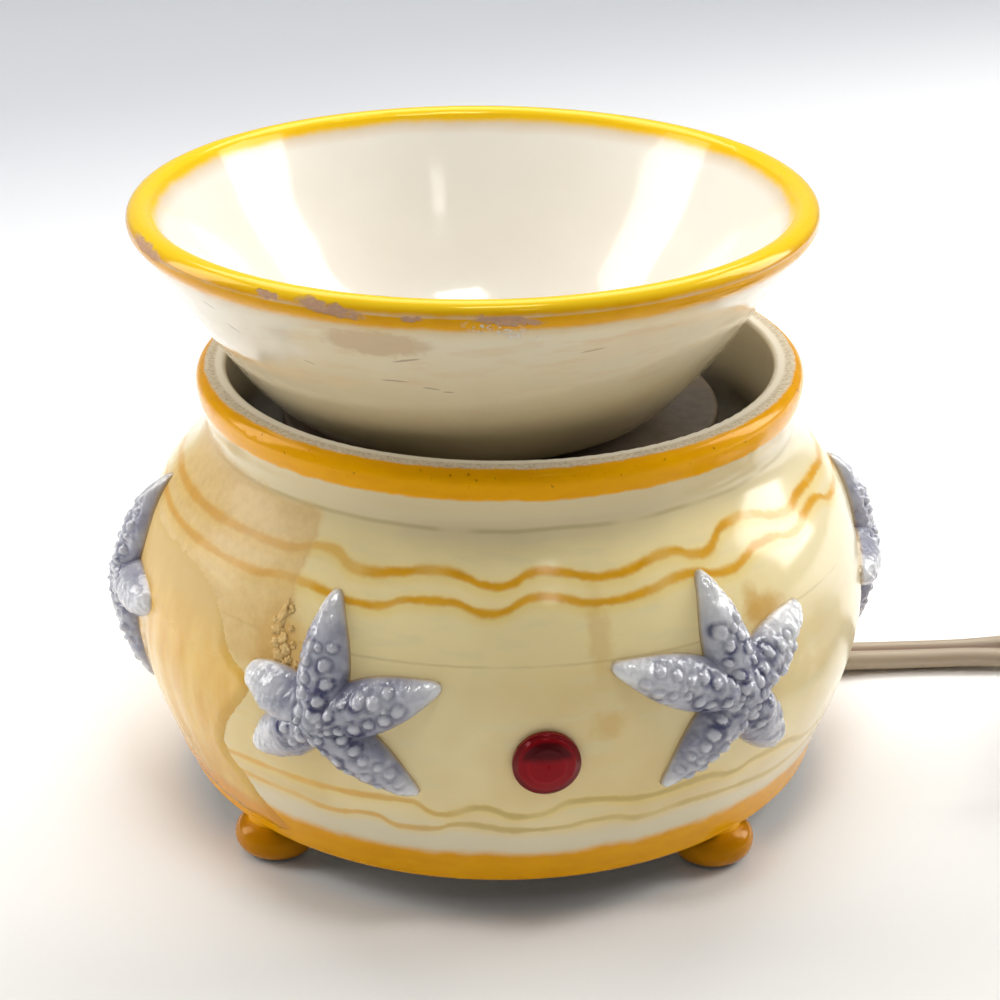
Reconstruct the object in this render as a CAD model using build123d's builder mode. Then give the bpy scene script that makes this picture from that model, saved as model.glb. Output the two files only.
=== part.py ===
from build123d import *

import os
from math import cos, degrees, hypot, pi, radians, sin, tan

os.makedirs("parts", exist_ok=True)

# Driving sizes of the pot, in millimetres
foot_height = 6.3
lip_top = 77.0
base_r = 57.4
base_round = 1.4
base_lean_share = 0.25
lower_r = 61.4
lower_z = 19.5
belly_r = 64.5
belly_z = 34.5
upper_r = 63.1
upper_z = 44.5
shoulder_r = 58.0
shoulder_z = 57.0
throat_r = 52.6
throat_z = 63.2
neck_r = 50.8
neck_z = 67.8
lip_r = 52.3
lip_round = 2.3
mouth_r = 47.1
mouth_round = 0.8
pot_wall = 4.8
floor_thickness = 4.8
floor_opening_r = 41.0
cover_rabbet_r = 46.0
cover_rabbet_depth = 1.8

# Bun feet, cast with the pot
foot_ring_r = 52.5
foot_r = 7.2
foot_flat_r = 4.2
foot_neck_r = 5.0
foot_sink = 1.5
foot_count = 4
first_foot_angle = -53.0

# Starfish reliefs, given by the place of the centre and the angle and reach of each arm
star_angles = {
    "starfish_front_left": -32.1,
    "starfish_front_right": 29.2,
    "starfish_right": 90.0,
    "starfish_back_right": 148.5,
    "starfish_back_left": 211.5,
    "starfish_left": 270.0,
}
star_height = 38.8
star_height_step = 0.85
star_reach = 19.5
star_root_r = 4.7
star_hub_r = 5.1
star_tip_r = 2.1
star_crown = 1.2
star_sink = 0.5
arm_reach_shares = {
    "starfish_front_left": [1.0, 1.08, 1.0, 0.82, 0.78],
    "starfish_front_right": [0.97, 1.0, 0.9, 1.0, 1.2],
    "starfish_right": [1.0, 0.95, 1.05, 0.9, 1.0],
    "starfish_back_right": [1.05, 0.9, 1.0, 1.0, 0.95],
    "starfish_back_left": [0.95, 1.0, 0.9, 1.05, 1.0],
    "starfish_left": [1.05, 1.0, 0.95, 1.0, 1.0],
}
arm_angles = {
    "starfish_front_left": [90.0, 21.0, -36.0, -146.0, 164.0],
    "starfish_front_right": [99.0, 28.0, -54.0, -132.0, 160.0],
    "starfish_right": [104.0, 33.0, -38.0, -112.0, 176.0],
    "starfish_back_right": [85.0, 12.0, -58.0, -130.0, 158.0],
    "starfish_back_left": [96.0, 24.0, -48.0, -120.0, 167.0],
    "starfish_left": [80.0, 8.0, -66.0, -138.0, 150.0],
}
raised_stars = ("starfish_front_right", "starfish_back_left")

# Dish
dish_rim_r = 57.6
dish_height = 38.1
dish_wall = 4.6
dish_rim_round = 2.35
dish_rim_lean = 36.9
dish_foot_r = 24.2
dish_foot_width = 4.0
dish_foot_recess = 0.8
dish_well_r = 21.5
dish_heel_rise_share = 0.25
dish_shift_x = -4.6
dish_shift_y = -1.5
dish_side_shares = [
    (0.535, 0.045),
    (0.605, 0.12),
    (0.675, 0.23),
    (0.74, 0.36),
    (0.815, 0.52),
    (0.885, 0.68),
]

# Heating plate and what is clamped beneath it
plate_r = 37.9
plate_top = 68.3
plate_thickness = 1.6
plate_round = 0.7
plate_skirt_height = 6.5
plate_skirt_wall = 1.2
plate_boss_r = 3.0
mica_thickness = 0.5
mica_r = 28.5
mica_bore_r = 6.0
winding_r = 27.0
winding_bore_r = 9.0
winding_thickness = 1.5
winding_slots = 20
winding_slot_width = 1.4
winding_slot_depth = 12.5
clamp_thickness = 1.2
clamp_r = 35.6
pad_thickness = 6.0
pan_wall = 0.8
pan_clearance = 0.3

# Screws that hold the heater together
screw_r = 1.5
screw_hole_r = 1.7
screw_head_r = 2.9
screw_head_height = 2.2
screw_socket_r = 1.1
screw_socket_depth = 1.2
screw_circle_r = 32.4
screw_count = 3
screw_angle = 96.0
thread_end_gap = 0.3

# Moulded stand between the pot's floor and the heater pan
stand_foot_r = 46.4
stand_foot_bore_r = 31.0
stand_foot_thickness = 1.8
stand_leg_r = 37.4
stand_leg_wall = 3.6
stand_leg_width = 22.0
stand_top_thickness = 3.0
stand_top_bore_r = 25.0
stand_post_r = 4.0
stand_post_circle_r = 35.5
stand_post_height = 8.0
stand_post_angle = 66.0
window_corner_r = 4.0

# Base cover
cover_thickness = 1.6
cover_r = 45.7
spigot_r = 40.6
spigot_wall = 1.8
spigot_height = 2.4
vent_count = 8
vent_circle_r = 24.0
vent_length = 12.0
vent_width = 3.0
vent_first_angle = 150.0
vent_step = 30.0
cable_slot_length = 24.0
cable_slot_width = 10.0

# Pilot light
lens_z = 33.3
lens_r = 5.4
lens_rim = 0.8
lens_dome = 1.1
lens_gap = 0.1
lens_barrel_r = 4.0
lens_barrel_length = 11.0
lens_bore_r = 3.2
lens_hole_clearance = 0.3
lens_end_wall = 1.2
clip_r = 6.4
clip_thickness = 0.8
clip_gap = 0.9
clip_bore_clearance = 0.1
lamp_r = 2.9
lamp_length = 13.0
resistor_r = 1.6
resistor_length = 9.0

# Flat twin mains cord
cord_width = 7.4
cord_thickness = 3.7
bushing_root_width = 10.6
bushing_root_thickness = 5.2
bushing_tip_width = 8.8
bushing_tip_thickness = 4.9
bushing_length = 24.0
bushing_seat = 10.0
gland_wall = 1.8
gland_bottom = 0.9
cord_y = 18.5
cord_z = 3.9
bushing_tip_x = 36.0
cord_clearance = 0.15

# Route of the lead from the bushing to the coil, and how it turns on edge
lead_points = [
    (36.0, 18.5, 3.9),
    (56.0, 18.5, 3.9),
    (80.0, 20.3, 1.95),
    (106.0, 17.5, 3.0),
    (121.0, 14.5, 4.35),
]
twist_start_x = 92.0
twist_end_x = 130.0
lead_sections = 18
arc_share = 0.45

# Put-away coil: two layers of turns on edge, wound in and then out on top
coil_x = 143.0
coil_north_y = 14.5
coil_z = 4.35
coil_outer_r = 45.0
coil_pitch = 4.5
coil_layer_rise = 8.1
half_turns_in = 6
half_turns_out = 5
climb_sections = 12

# Tail from the coil down to the plug
tail_top_run = 18.0
tail_drop_run = 26.0
tail_end_run = 15.0
tail_sections = 14

# Tie round the coil
tie_thickness = 0.4
tie_width = 4.0
tie_gap = 0.15
tie_side_gap = 0.4
tie_tab_length = 7.0

# Two-blade plug
plug_length = 26.0
plug_width = 20.0
plug_thickness = 12.6
plug_nose_width = 11.0
plug_nose_thickness = 8.0
plug_round = 2.5
plug_nose_share = 0.5
plug_z = 6.5
plug_groove_depth = 0.7
plug_groove_width = 1.6
plug_groove_count = 3
blade_spacing = 12.7
blade_width = 6.35
blade_thickness = 1.5
blade_length = 16.0
blade_root = 4.0
blade_hole_r = 1.6
blade_hole_from_tip = 4.0

# Leads inside the pot
lead_r = 1.1
lead_pair_gap = 1.3
lead_straight = 4.5
inner_cord_x = -2.0
inner_cord_top = 18.0
splice_r = 3.2
splice_length = 16.0
splice_z = 34.0
splice_x = 11.0
splice_y = 4.0
splice_bore_depth = 4.0
splice_clearance = 0.15
supply_bend_z = 30.0
fuse_r = 2.0
fuse_length = 11.0
fuse_y = -7.0
fuse_gap = 0.3
fuse_end_run = 4.9
fuse_clip_wall = 0.6
fuse_clip_width = 5.0
fuse_clip_ear = 4.0
pilot_lead_run = 5.0
pilot_lead_z = 26.5
pilot_lead_bend_y = -20.0
resistor_x = -11.0
resistor_y = -27.0
resistor_z = 28.0
resistor_lead_run = 6.0
overrun = 1.0


def inset(stations, depth):
    """Stations of a wall's outer face, moved along its normal to the inner face."""
    moved = []
    before_list = stations[:1] + stations[:-1]
    after_list = stations[1:] + stations[-1:]
    for before, here, after in zip(before_list, stations, after_list):
        run = after[0] - before[0]
        rise = after[1] - before[1]
        span = hypot(run, rise)
        moved.append((here[0] - depth * rise / span, here[1] + depth * run / span))
    return moved


def around(radius, angle, height):
    """Point at an angle from the front, seen from above, turning to the right."""
    return (radius * sin(radians(angle)), -radius * cos(radians(angle)), height)


# Pot
body_stations = [
    (base_r, foot_height + base_round),
    (lower_r, lower_z),
    (belly_r, belly_z),
    (upper_r, upper_z),
    (shoulder_r, shoulder_z),
    (throat_r, throat_z),
    (neck_r, neck_z),
]
lip_side = (lip_r, lip_top - lip_round)
floor_top = foot_height + floor_thickness
rabbet_top = foot_height + cover_rabbet_depth
base_inside_r = inset(body_stations, pot_wall)[0][0]
inner_stations = [(mouth_r, lip_top - mouth_round), (mouth_r, neck_z)]
inner_stations += inset(body_stations, pot_wall)[-3:0:-1]
inner_stations += [(base_inside_r, floor_top)]

with BuildLine(Plane.XZ) as belly_line:
    Spline(*body_stations, lip_side, tangents=[(base_lean_share, 1), (0, 1)])

with BuildPart() as envelope:
    with BuildSketch(Plane.XZ):
        with BuildLine():
            Spline(*body_stations, lip_side, tangents=[(base_lean_share, 1), (0, 1)])
            Polyline(lip_side, (0, lip_side[1]), (0, body_stations[0][1]), body_stations[0])
        make_face()
    revolve(axis=Axis.Z)

with BuildPart() as foot:
    with BuildSketch(Plane.XZ):
        with BuildLine():
            Line((0, 0), (foot_flat_r, 0))
            ThreePointArc(
                (foot_flat_r, 0),
                (foot_r, foot_height * foot_flat_r / (foot_flat_r + foot_neck_r)),
                (foot_neck_r, foot_height),
            )
            Polyline((foot_neck_r, foot_height), (foot_neck_r, foot_height + foot_sink),
                     (0, foot_height + foot_sink), (0, 0))
        make_face()
    revolve(axis=Axis.Z)

with BuildPart() as pot:
    with BuildSketch(Plane.XZ):
        with BuildLine():
            Spline(*body_stations, lip_side, tangents=[(base_lean_share, 1), (0, 1)])
            lip_arc = JernArc(lip_side, (0, 1), lip_round, 90)
            mouth_start = (mouth_r + mouth_round, lip_top)
            Line(lip_arc @ 1, mouth_start)
            JernArc(mouth_start, (-1, 0), mouth_round, 90)
            Line(inner_stations[0], inner_stations[1])
            Spline(*inner_stations[1:], tangents=[(0, -1), (-base_lean_share, -1)])
            Polyline(
                inner_stations[-1],
                (floor_opening_r, floor_top),
                (floor_opening_r, rabbet_top),
                (cover_rabbet_r, rabbet_top),
                (cover_rabbet_r, foot_height),
                (base_r - base_round, foot_height),
            )
            JernArc((base_r - base_round, foot_height), (1, 0), base_round, 90)
        make_face()
    revolve(axis=Axis.Z)
    for index in range(foot_count):
        turn = first_foot_angle + 360 / foot_count * index
        add(foot.part.moved(Location(around(foot_ring_r, turn, 0))))
    with BuildSketch(Plane.XZ.offset(belly_r + overrun)):
        with Locations((0, lens_z)):
            Circle(lens_barrel_r + lens_hole_clearance)
    extrude(amount=-(pot_wall + lens_r), mode=Mode.SUBTRACT)
pot.part.label = "pot"
export_step(pot.part, "parts/pot.step")


surface_checks = 240
surface_points = [belly_line.line @ (step / surface_checks) for step in range(surface_checks + 1)]


def surface_r(height):
    """Radius of the pot's outside at a height."""
    return min(surface_points, key=lambda point: abs(point.Z - height)).X


# Starfish, seated on the belly
for name, angle in star_angles.items():
    centre_z = star_height + star_height_step * (1 if name in raised_stars else -1)
    centre = Vector(*around(surface_r(centre_z) + star_crown, angle, centre_z))
    with BuildPart() as starfish:
        for lean, share in zip(arm_angles[name], arm_reach_shares[name]):
            reach = star_reach * share - star_tip_r
            side = degrees(reach * cos(radians(lean)) / belly_r)
            tip_z = centre_z + reach * sin(radians(lean))
            tip = Vector(*around(surface_r(tip_z) - star_sink, angle + side, tip_z))
            along = (tip - centre).normalized()
            across = along.cross(centre).normalized()
            length = (tip - centre).length
            with BuildSketch(Plane(origin=centre, x_dir=along, z_dir=across)):
                with BuildLine():
                    Line((0, 0), (0, star_root_r))
                    Line((0, star_root_r), (length, star_tip_r))
                    ThreePointArc(
                        (length, star_tip_r),
                        (length + star_tip_r * cos(pi / 4), star_tip_r * sin(pi / 4)),
                        (length + star_tip_r, 0),
                    )
                    Line((length + star_tip_r, 0), (0, 0))
                make_face()
            revolve(axis=Axis(centre, along))
        with Locations(centre):
            Sphere(star_hub_r)
        add(envelope.part, mode=Mode.SUBTRACT)
    starfish.part.label = name
    export_step(starfish.part, "parts/" + name + ".step")

# Dish, standing loose on the heating plate
dish_place = Location((dish_shift_x, dish_shift_y, plate_top))
side_stations = [(share_r * dish_rim_r, share_z * dish_height) for share_r, share_z in dish_side_shares]
rim_run = sin(radians(dish_rim_lean))
rim_rise = cos(radians(dish_rim_lean))
rim_centre = (dish_rim_r - dish_rim_round, dish_height - dish_rim_round)
rim_side = (rim_centre[0] + dish_rim_round * rim_rise, rim_centre[1] - dish_rim_round * rim_run)
rim_inside = (rim_centre[0] - dish_rim_round * rim_rise, rim_centre[1] + dish_rim_round * rim_run)
bowl_stations = inset(side_stations + [rim_side], dish_wall)[:-1]
heel = (dish_foot_r, 0)
well_edge = (dish_well_r, dish_wall)
with BuildPart() as dish_blank:
    with BuildSketch(Plane.XZ):
        with BuildLine():
            Spline(
                heel,
                *side_stations,
                rim_side,
                tangents=[(1, dish_heel_rise_share), (rim_run, rim_rise)],
            )
            JernArc(rim_side, (rim_run, rim_rise), dish_rim_round, 180)
            Spline(rim_inside, *bowl_stations[::-1], well_edge, tangents=[(-rim_run, -rim_rise), (-1, 0)])
            Polyline(
                well_edge,
                (0, dish_wall),
                (0, dish_foot_recess),
                (dish_foot_r - dish_foot_width, dish_foot_recess),
                (dish_foot_r - dish_foot_width, 0),
                heel,
            )
        make_face()
    revolve(axis=Axis.Z)
dish = dish_blank.part.moved(dish_place)
dish.label = "dish"
export_step(dish, "parts/dish.step")

# Levels of the heater, from the plate down
plate_under = plate_top - plate_thickness
upper_mica_z = plate_under - mica_thickness
winding_z = upper_mica_z - winding_thickness
lower_mica_z = winding_z - mica_thickness
clamp_z = lower_mica_z - clamp_thickness
pan_floor_top = clamp_z - pad_thickness
pan_bottom = pan_floor_top - pan_wall
stand_top_z = pan_bottom
stand_bottom_z = floor_top
pan_r = plate_r - plate_skirt_wall - pan_clearance
lead_hole_r = lead_r + cord_clearance
lead_hole_places = [(splice_x, splice_y), (fuse_length / 2 + fuse_end_run, fuse_y)]

with BuildPart() as heating_plate:
    with BuildSketch(Plane.XY.offset(plate_under)):
        Circle(plate_r)
    extrude(amount=plate_thickness)
    fillet(heating_plate.edges().group_by(Axis.Z)[-1], plate_round)
    with BuildSketch(Plane.XY.offset(plate_under)):
        Circle(plate_r)
        Circle(plate_r - plate_skirt_wall, mode=Mode.SUBTRACT)
    extrude(amount=-plate_skirt_height)
    with BuildSketch(Plane.XY.offset(plate_under)):
        with PolarLocations(screw_circle_r, screw_count, start_angle=screw_angle):
            Circle(plate_boss_r)
            Circle(screw_r + thread_end_gap / 2, mode=Mode.SUBTRACT)
    extrude(amount=-(plate_under - clamp_z - clamp_thickness))
heating_plate.part.label = "heating_plate"
export_step(heating_plate.part, "parts/heating_plate.step")

for label, bottom in (("upper_mica_disc", upper_mica_z), ("lower_mica_disc", lower_mica_z)):
    with BuildPart() as mica_disc:
        with BuildSketch(Plane.XY.offset(bottom)):
            Circle(mica_r)
            Circle(mica_bore_r, mode=Mode.SUBTRACT)
            if label == "lower_mica_disc":
                with Locations(*lead_hole_places):
                    Circle(lead_hole_r, mode=Mode.SUBTRACT)
        extrude(amount=mica_thickness)
    mica_disc.part.label = label
    export_step(mica_disc.part, "parts/" + label + ".step")

# Resistance ribbon wound on a former, with a gap between neighbouring turns
with BuildPart() as heater_winding:
    with BuildSketch(Plane.XY.offset(winding_z)):
        Circle(winding_r)
        Circle(winding_bore_r - winding_slot_width, mode=Mode.SUBTRACT)
        with PolarLocations(winding_r - winding_slot_depth / 2, winding_slots):
            Rectangle(winding_slot_depth + overrun, winding_slot_width, mode=Mode.SUBTRACT)
    extrude(amount=winding_thickness)
heater_winding.part.label = "heater_winding"
export_step(heater_winding.part, "parts/heater_winding.step")

with BuildPart() as clamp_plate:
    with BuildSketch(Plane.XY.offset(clamp_z)):
        Circle(clamp_r)
        with PolarLocations(screw_circle_r, screw_count, start_angle=screw_angle):
            Circle(screw_hole_r, mode=Mode.SUBTRACT)
        with Locations(*lead_hole_places):
            Circle(lead_hole_r, mode=Mode.SUBTRACT)
    extrude(amount=clamp_thickness)
clamp_plate.part.label = "clamp_plate"
export_step(clamp_plate.part, "parts/clamp_plate.step")

with BuildPart() as insulation_pad:
    with BuildSketch(Plane.XY.offset(pan_floor_top)):
        Circle(clamp_r)
        with PolarLocations(screw_circle_r, screw_count, start_angle=screw_angle):
            Circle(screw_hole_r, mode=Mode.SUBTRACT)
        with Locations(*lead_hole_places):
            Circle(lead_hole_r, mode=Mode.SUBTRACT)
    extrude(amount=pad_thickness)
insulation_pad.part.label = "insulation_pad"
export_step(insulation_pad.part, "parts/insulation_pad.step")

with BuildPart() as heater_pan:
    with BuildSketch(Plane.XY.offset(pan_bottom)):
        Circle(pan_r)
    extrude(amount=plate_under - pan_bottom)
    with BuildSketch(Plane.XY.offset(pan_floor_top)):
        Circle(pan_r - pan_wall)
    extrude(amount=plate_under - pan_floor_top, mode=Mode.SUBTRACT)
    with BuildSketch(Plane.XY.offset(pan_bottom)):
        with PolarLocations(screw_circle_r, screw_count, start_angle=screw_angle):
            Circle(screw_hole_r)
        with Locations(*lead_hole_places):
            Circle(lead_hole_r)
    extrude(amount=pan_wall, mode=Mode.SUBTRACT)
heater_pan.part.label = "heater_pan"
export_step(heater_pan.part, "parts/heater_pan.step")

# Three screws from under the stand's top ring into the plate's bosses
screw_head_z = stand_top_z - stand_top_thickness
with BuildPart() as plate_screws:
    with BuildSketch(Plane.XY.offset(screw_head_z - screw_head_height)):
        with PolarLocations(screw_circle_r, screw_count, start_angle=screw_angle):
            Circle(screw_head_r)
    extrude(amount=screw_head_height)
    with BuildSketch(Plane.XY.offset(screw_head_z)):
        with PolarLocations(screw_circle_r, screw_count, start_angle=screw_angle):
            Circle(screw_r)
    extrude(amount=plate_under - thread_end_gap - screw_head_z)
    with BuildSketch(Plane.XY.offset(screw_head_z - screw_head_height)):
        with PolarLocations(screw_circle_r, screw_count, start_angle=screw_angle):
            RegularPolygon(screw_socket_r, 6)
    extrude(amount=screw_socket_depth, mode=Mode.SUBTRACT)
plate_screws.part.label = "plate_screws"
export_step(plate_screws.part, "parts/plate_screws.step")

# Stand
leg_height = stand_top_z - stand_bottom_z
post_bottom = rabbet_top
with BuildPart() as stand:
    with BuildSketch(Plane.XY.offset(stand_bottom_z)):
        Circle(stand_foot_r)
        Circle(stand_foot_bore_r, mode=Mode.SUBTRACT)
    extrude(amount=stand_foot_thickness)
    with BuildSketch(Plane.XY.offset(stand_bottom_z)):
        Circle(stand_leg_r)
        Circle(stand_leg_r - stand_leg_wall, mode=Mode.SUBTRACT)
    extrude(amount=leg_height)
    with BuildSketch(Plane.XY.offset(screw_head_z)):
        Circle(stand_leg_r)
        Circle(stand_top_bore_r, mode=Mode.SUBTRACT)
    extrude(amount=stand_top_thickness)
    window_height = screw_head_z - stand_bottom_z - stand_foot_thickness - stand_leg_wall
    window_width = 2 * stand_leg_r * sin(radians(180 / screw_count)) - stand_leg_width
    for index in range(screw_count):
        facing = screw_angle + 180 / screw_count + 360 / screw_count * index
        outward = Vector(cos(radians(facing)), sin(radians(facing)), 0)
        sill = stand_bottom_z + stand_foot_thickness
        window_plane = Plane(
            origin=Vector(0, 0, sill + window_height / 2),
            x_dir=Vector(0, 0, 1).cross(outward),
            z_dir=outward,
        )
        with BuildSketch(window_plane):
            RectangleRounded(window_width, window_height, window_corner_r)
        extrude(amount=stand_foot_r, mode=Mode.SUBTRACT)
    with BuildSketch(Plane.XY.offset(post_bottom)):
        with PolarLocations(stand_post_circle_r, screw_count, start_angle=stand_post_angle):
            Circle(stand_post_r)
    extrude(amount=stand_bottom_z + stand_post_height - post_bottom)
    with BuildSketch(Plane.XY.offset(post_bottom)):
        with PolarLocations(stand_post_circle_r, screw_count, start_angle=stand_post_angle):
            Circle(screw_r + thread_end_gap / 2)
    extrude(amount=stand_bottom_z + stand_post_height - post_bottom - stand_leg_wall, mode=Mode.SUBTRACT)
    with BuildSketch(Plane.XY.offset(screw_head_z)):
        with PolarLocations(screw_circle_r, screw_count, start_angle=screw_angle):
            Circle(screw_hole_r)
    extrude(amount=stand_top_thickness, mode=Mode.SUBTRACT)
    with BuildSketch(Plane.XY.offset(screw_head_z)):
        with PolarLocations(screw_circle_r, screw_count, start_angle=screw_angle):
            Circle(screw_head_r + pan_clearance)
    extrude(amount=-(screw_head_z - stand_bottom_z), mode=Mode.SUBTRACT)
stand.part.label = "stand"
export_step(stand.part, "parts/stand.step")

# Base cover with its gland block, which holds the root of the bushing
cover_z = rabbet_top - cover_thickness
gland_end_x = bushing_tip_x - bushing_length + bushing_seat
gland_width = bushing_root_width + 2 * gland_wall
seat_width = bushing_root_width + 2 * cord_clearance
seat_thickness = bushing_root_thickness + 2 * cord_clearance
with BuildPart() as base_cover:
    with BuildSketch(Plane.XY.offset(cover_z)):
        Circle(cover_r)
    extrude(amount=cover_thickness)
    with BuildSketch(Plane.XY.offset(rabbet_top)):
        Circle(spigot_r)
        Circle(spigot_r - spigot_wall, mode=Mode.SUBTRACT)
        with PolarLocations(stand_post_circle_r, screw_count, start_angle=stand_post_angle):
            Circle(stand_post_r + pan_clearance, mode=Mode.SUBTRACT)
    extrude(amount=spigot_height)
    with BuildSketch(Plane.XY.offset(cover_z)):
        with Locations((gland_end_x - bushing_seat / 2, cord_y)):
            Rectangle(bushing_seat, gland_width)
    extrude(amount=-(cover_z - gland_bottom))
    with BuildSketch(Plane.YZ.offset(gland_end_x - bushing_seat)):
        with Locations((cord_y, cord_z)):
            SlotOverall(seat_width, seat_thickness)
    extrude(amount=bushing_seat, mode=Mode.SUBTRACT)
    with BuildSketch(Plane.XY.offset(cover_z)):
        with Locations((gland_end_x - bushing_seat - cable_slot_length / 2, cord_y)):
            Rectangle(cable_slot_length, cable_slot_width)
        with PolarLocations(stand_post_circle_r, screw_count, start_angle=stand_post_angle):
            Circle(screw_hole_r)
        for index in range(vent_count):
            with PolarLocations(vent_circle_r, 1, start_angle=vent_first_angle + vent_step * index):
                SlotOverall(vent_length, vent_width)
    extrude(amount=cover_thickness, mode=Mode.SUBTRACT)
base_cover.part.label = "base_cover"
export_step(base_cover.part, "parts/base_cover.step")

with BuildPart() as base_screws:
    with BuildSketch(Plane.XY.offset(cover_z - screw_head_height)):
        with PolarLocations(stand_post_circle_r, screw_count, start_angle=stand_post_angle):
            Circle(screw_head_r)
    extrude(amount=screw_head_height)
    fillet(base_screws.edges().group_by(Axis.Z)[0], screw_head_height / 3)
    with BuildSketch(Plane.XY.offset(cover_z)):
        with PolarLocations(stand_post_circle_r, screw_count, start_angle=stand_post_angle):
            Circle(screw_r)
    extrude(amount=stand_bottom_z + stand_post_height - stand_leg_wall - thread_end_gap - cover_z)
    with BuildSketch(Plane.XY.offset(cover_z - screw_head_height)):
        with PolarLocations(stand_post_circle_r, screw_count, start_angle=stand_post_angle):
            Rectangle(2 * screw_socket_r, screw_socket_r / 2)
            Rectangle(screw_socket_r / 2, 2 * screw_socket_r)
    extrude(amount=screw_socket_depth, mode=Mode.SUBTRACT)
base_screws.part.label = "base_screws"
export_step(base_screws.part, "parts/base_screws.step")

# Pilot light, through the front of the belly
lens_back_y = -(surface_r(lens_z) + lens_gap)
with BuildPart() as pilot_lens:
    with BuildSketch(Plane.YZ):
        with BuildLine():
            Polyline(
                (lens_back_y, lens_z + lens_barrel_r),
                (lens_back_y, lens_z + lens_r),
                (lens_back_y - lens_rim, lens_z + lens_r),
            )
            TangentArc(
                (lens_back_y - lens_rim - lens_dome, lens_z),
                (lens_back_y - lens_rim, lens_z + lens_r),
                tangent=(0, 1),
            )
            Polyline(
                (lens_back_y - lens_rim - lens_dome, lens_z),
                (lens_back_y + lens_end_wall, lens_z),
                (lens_back_y + lens_end_wall, lens_z + lens_bore_r),
                (lens_back_y + lens_barrel_length, lens_z + lens_bore_r),
                (lens_back_y + lens_barrel_length, lens_z + lens_barrel_r),
                (lens_back_y, lens_z + lens_barrel_r),
            )
        make_face()
    revolve(axis=Axis((0, 0, lens_z), (0, 1, 0)))
pilot_lens.part.label = "pilot_lens"
export_step(pilot_lens.part, "parts/pilot_lens.step")

clip_y = -(surface_r(lens_z) - pot_wall - clip_gap)
with BuildPart() as lens_clip:
    with BuildSketch(Plane.XZ.offset(-clip_y)):
        with Locations((0, lens_z)):
            Circle(clip_r)
            Circle(lens_barrel_r + clip_bore_clearance, mode=Mode.SUBTRACT)
    extrude(amount=-clip_thickness)
lens_clip.part.label = "lens_clip"
export_step(lens_clip.part, "parts/lens_clip.step")

lamp_front_y = lens_back_y + lens_end_wall
with BuildPart() as pilot_lamp:
    with BuildSketch(Plane.XZ.offset(-lamp_front_y - lamp_r)):
        with Locations((0, lens_z)):
            Circle(lamp_r)
    extrude(amount=-(lamp_length - lamp_r))
    with Locations((0, lamp_front_y + lamp_r, lens_z)):
        Sphere(lamp_r)
pilot_lamp.part.label = "pilot_lamp"
export_step(pilot_lamp.part, "parts/pilot_lamp.step")

# Bushing, a tapered flat sleeve
bushing_root_x = bushing_tip_x - bushing_length
with BuildPart() as cord_bushing:
    with BuildSketch(Plane.YZ.offset(bushing_root_x)):
        with Locations((cord_y, cord_z)):
            SlotOverall(bushing_root_width, bushing_root_thickness)
    with BuildSketch(Plane.YZ.offset(bushing_tip_x)):
        with Locations((cord_y, cord_z)):
            SlotOverall(bushing_tip_width, bushing_tip_thickness)
    loft(ruled=True)
    with BuildSketch(Plane.YZ.offset(bushing_root_x)):
        with Locations((cord_y, cord_z)):
            SlotOverall(cord_width, cord_thickness)
    extrude(amount=bushing_length - lead_r, mode=Mode.SUBTRACT)
cord_bushing.part.label = "cord_bushing"
export_step(cord_bushing.part, "parts/cord_bushing.step")


def route_radii(points):
    """Radius of the arc at each corner of a route, as large as its runs allow."""
    radii = []
    for before, here, after in zip(points, points[1:], points[2:]):
        run_in = Vector(*here) - Vector(*before)
        run_out = Vector(*after) - Vector(*here)
        turn = radians(run_in.get_angle(run_out))
        radii.append(arc_share * min(run_in.length, run_out.length) / tan(turn / 2))
    return radii


def eased(share):
    """Share that starts and ends gently."""
    held = min(max(share, 0), 1)
    return held * held * (3 - 2 * held)


cord_section = cord_thickness * (cord_width - cord_thickness) + pi * cord_thickness ** 2 / 4
quarter_turn = 90

# Routes of the free stretches before and after the coil
coil_start = (coil_x - cord_width, coil_north_y, coil_z)
lead_route = lead_points + [coil_start]
lead_radii = route_radii(lead_route)
with BuildLine() as lead_path:
    FilletPolyline(*lead_route, radius=lead_radii)
lead_line = lead_path.wires()[0]

# Coil, spiralling in, climbing a layer in one half turn and spiralling out again
top_z = coil_z + coil_layer_rise
turn_radii = [coil_outer_r - coil_pitch / 2 * index for index in range(half_turns_in + 1)]
turn_radii += [turn_radii[-1] + coil_pitch / 2 * (index + 1) for index in range(half_turns_out)]
with BuildLine() as coil_path:
    Line(coil_start, (coil_x, coil_north_y, coil_z))
    here = Vector(coil_x, coil_north_y, coil_z)
    facing = 1
    for index, turn_r in enumerate(turn_radii):
        rise = coil_layer_rise if index == half_turns_in else 0
        there = here + Vector(0, -2 * turn_r * facing, rise)
        middle = (here + there) / 2 + Vector((there - here).length / 2 * facing, 0, 0)
        arcs = [
            TangentArc(here, middle, tangent=(facing, 0, 0)),
            TangentArc(middle, there, tangent=(there - here).normalized()),
        ]
        if index == half_turns_in:
            climb_arcs = arcs
        here = there
        facing = -facing
    coil_end = here + Vector(cord_width, 0, 0)
    Line(here, coil_end)
coil_line = coil_path.wires()[0]

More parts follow.
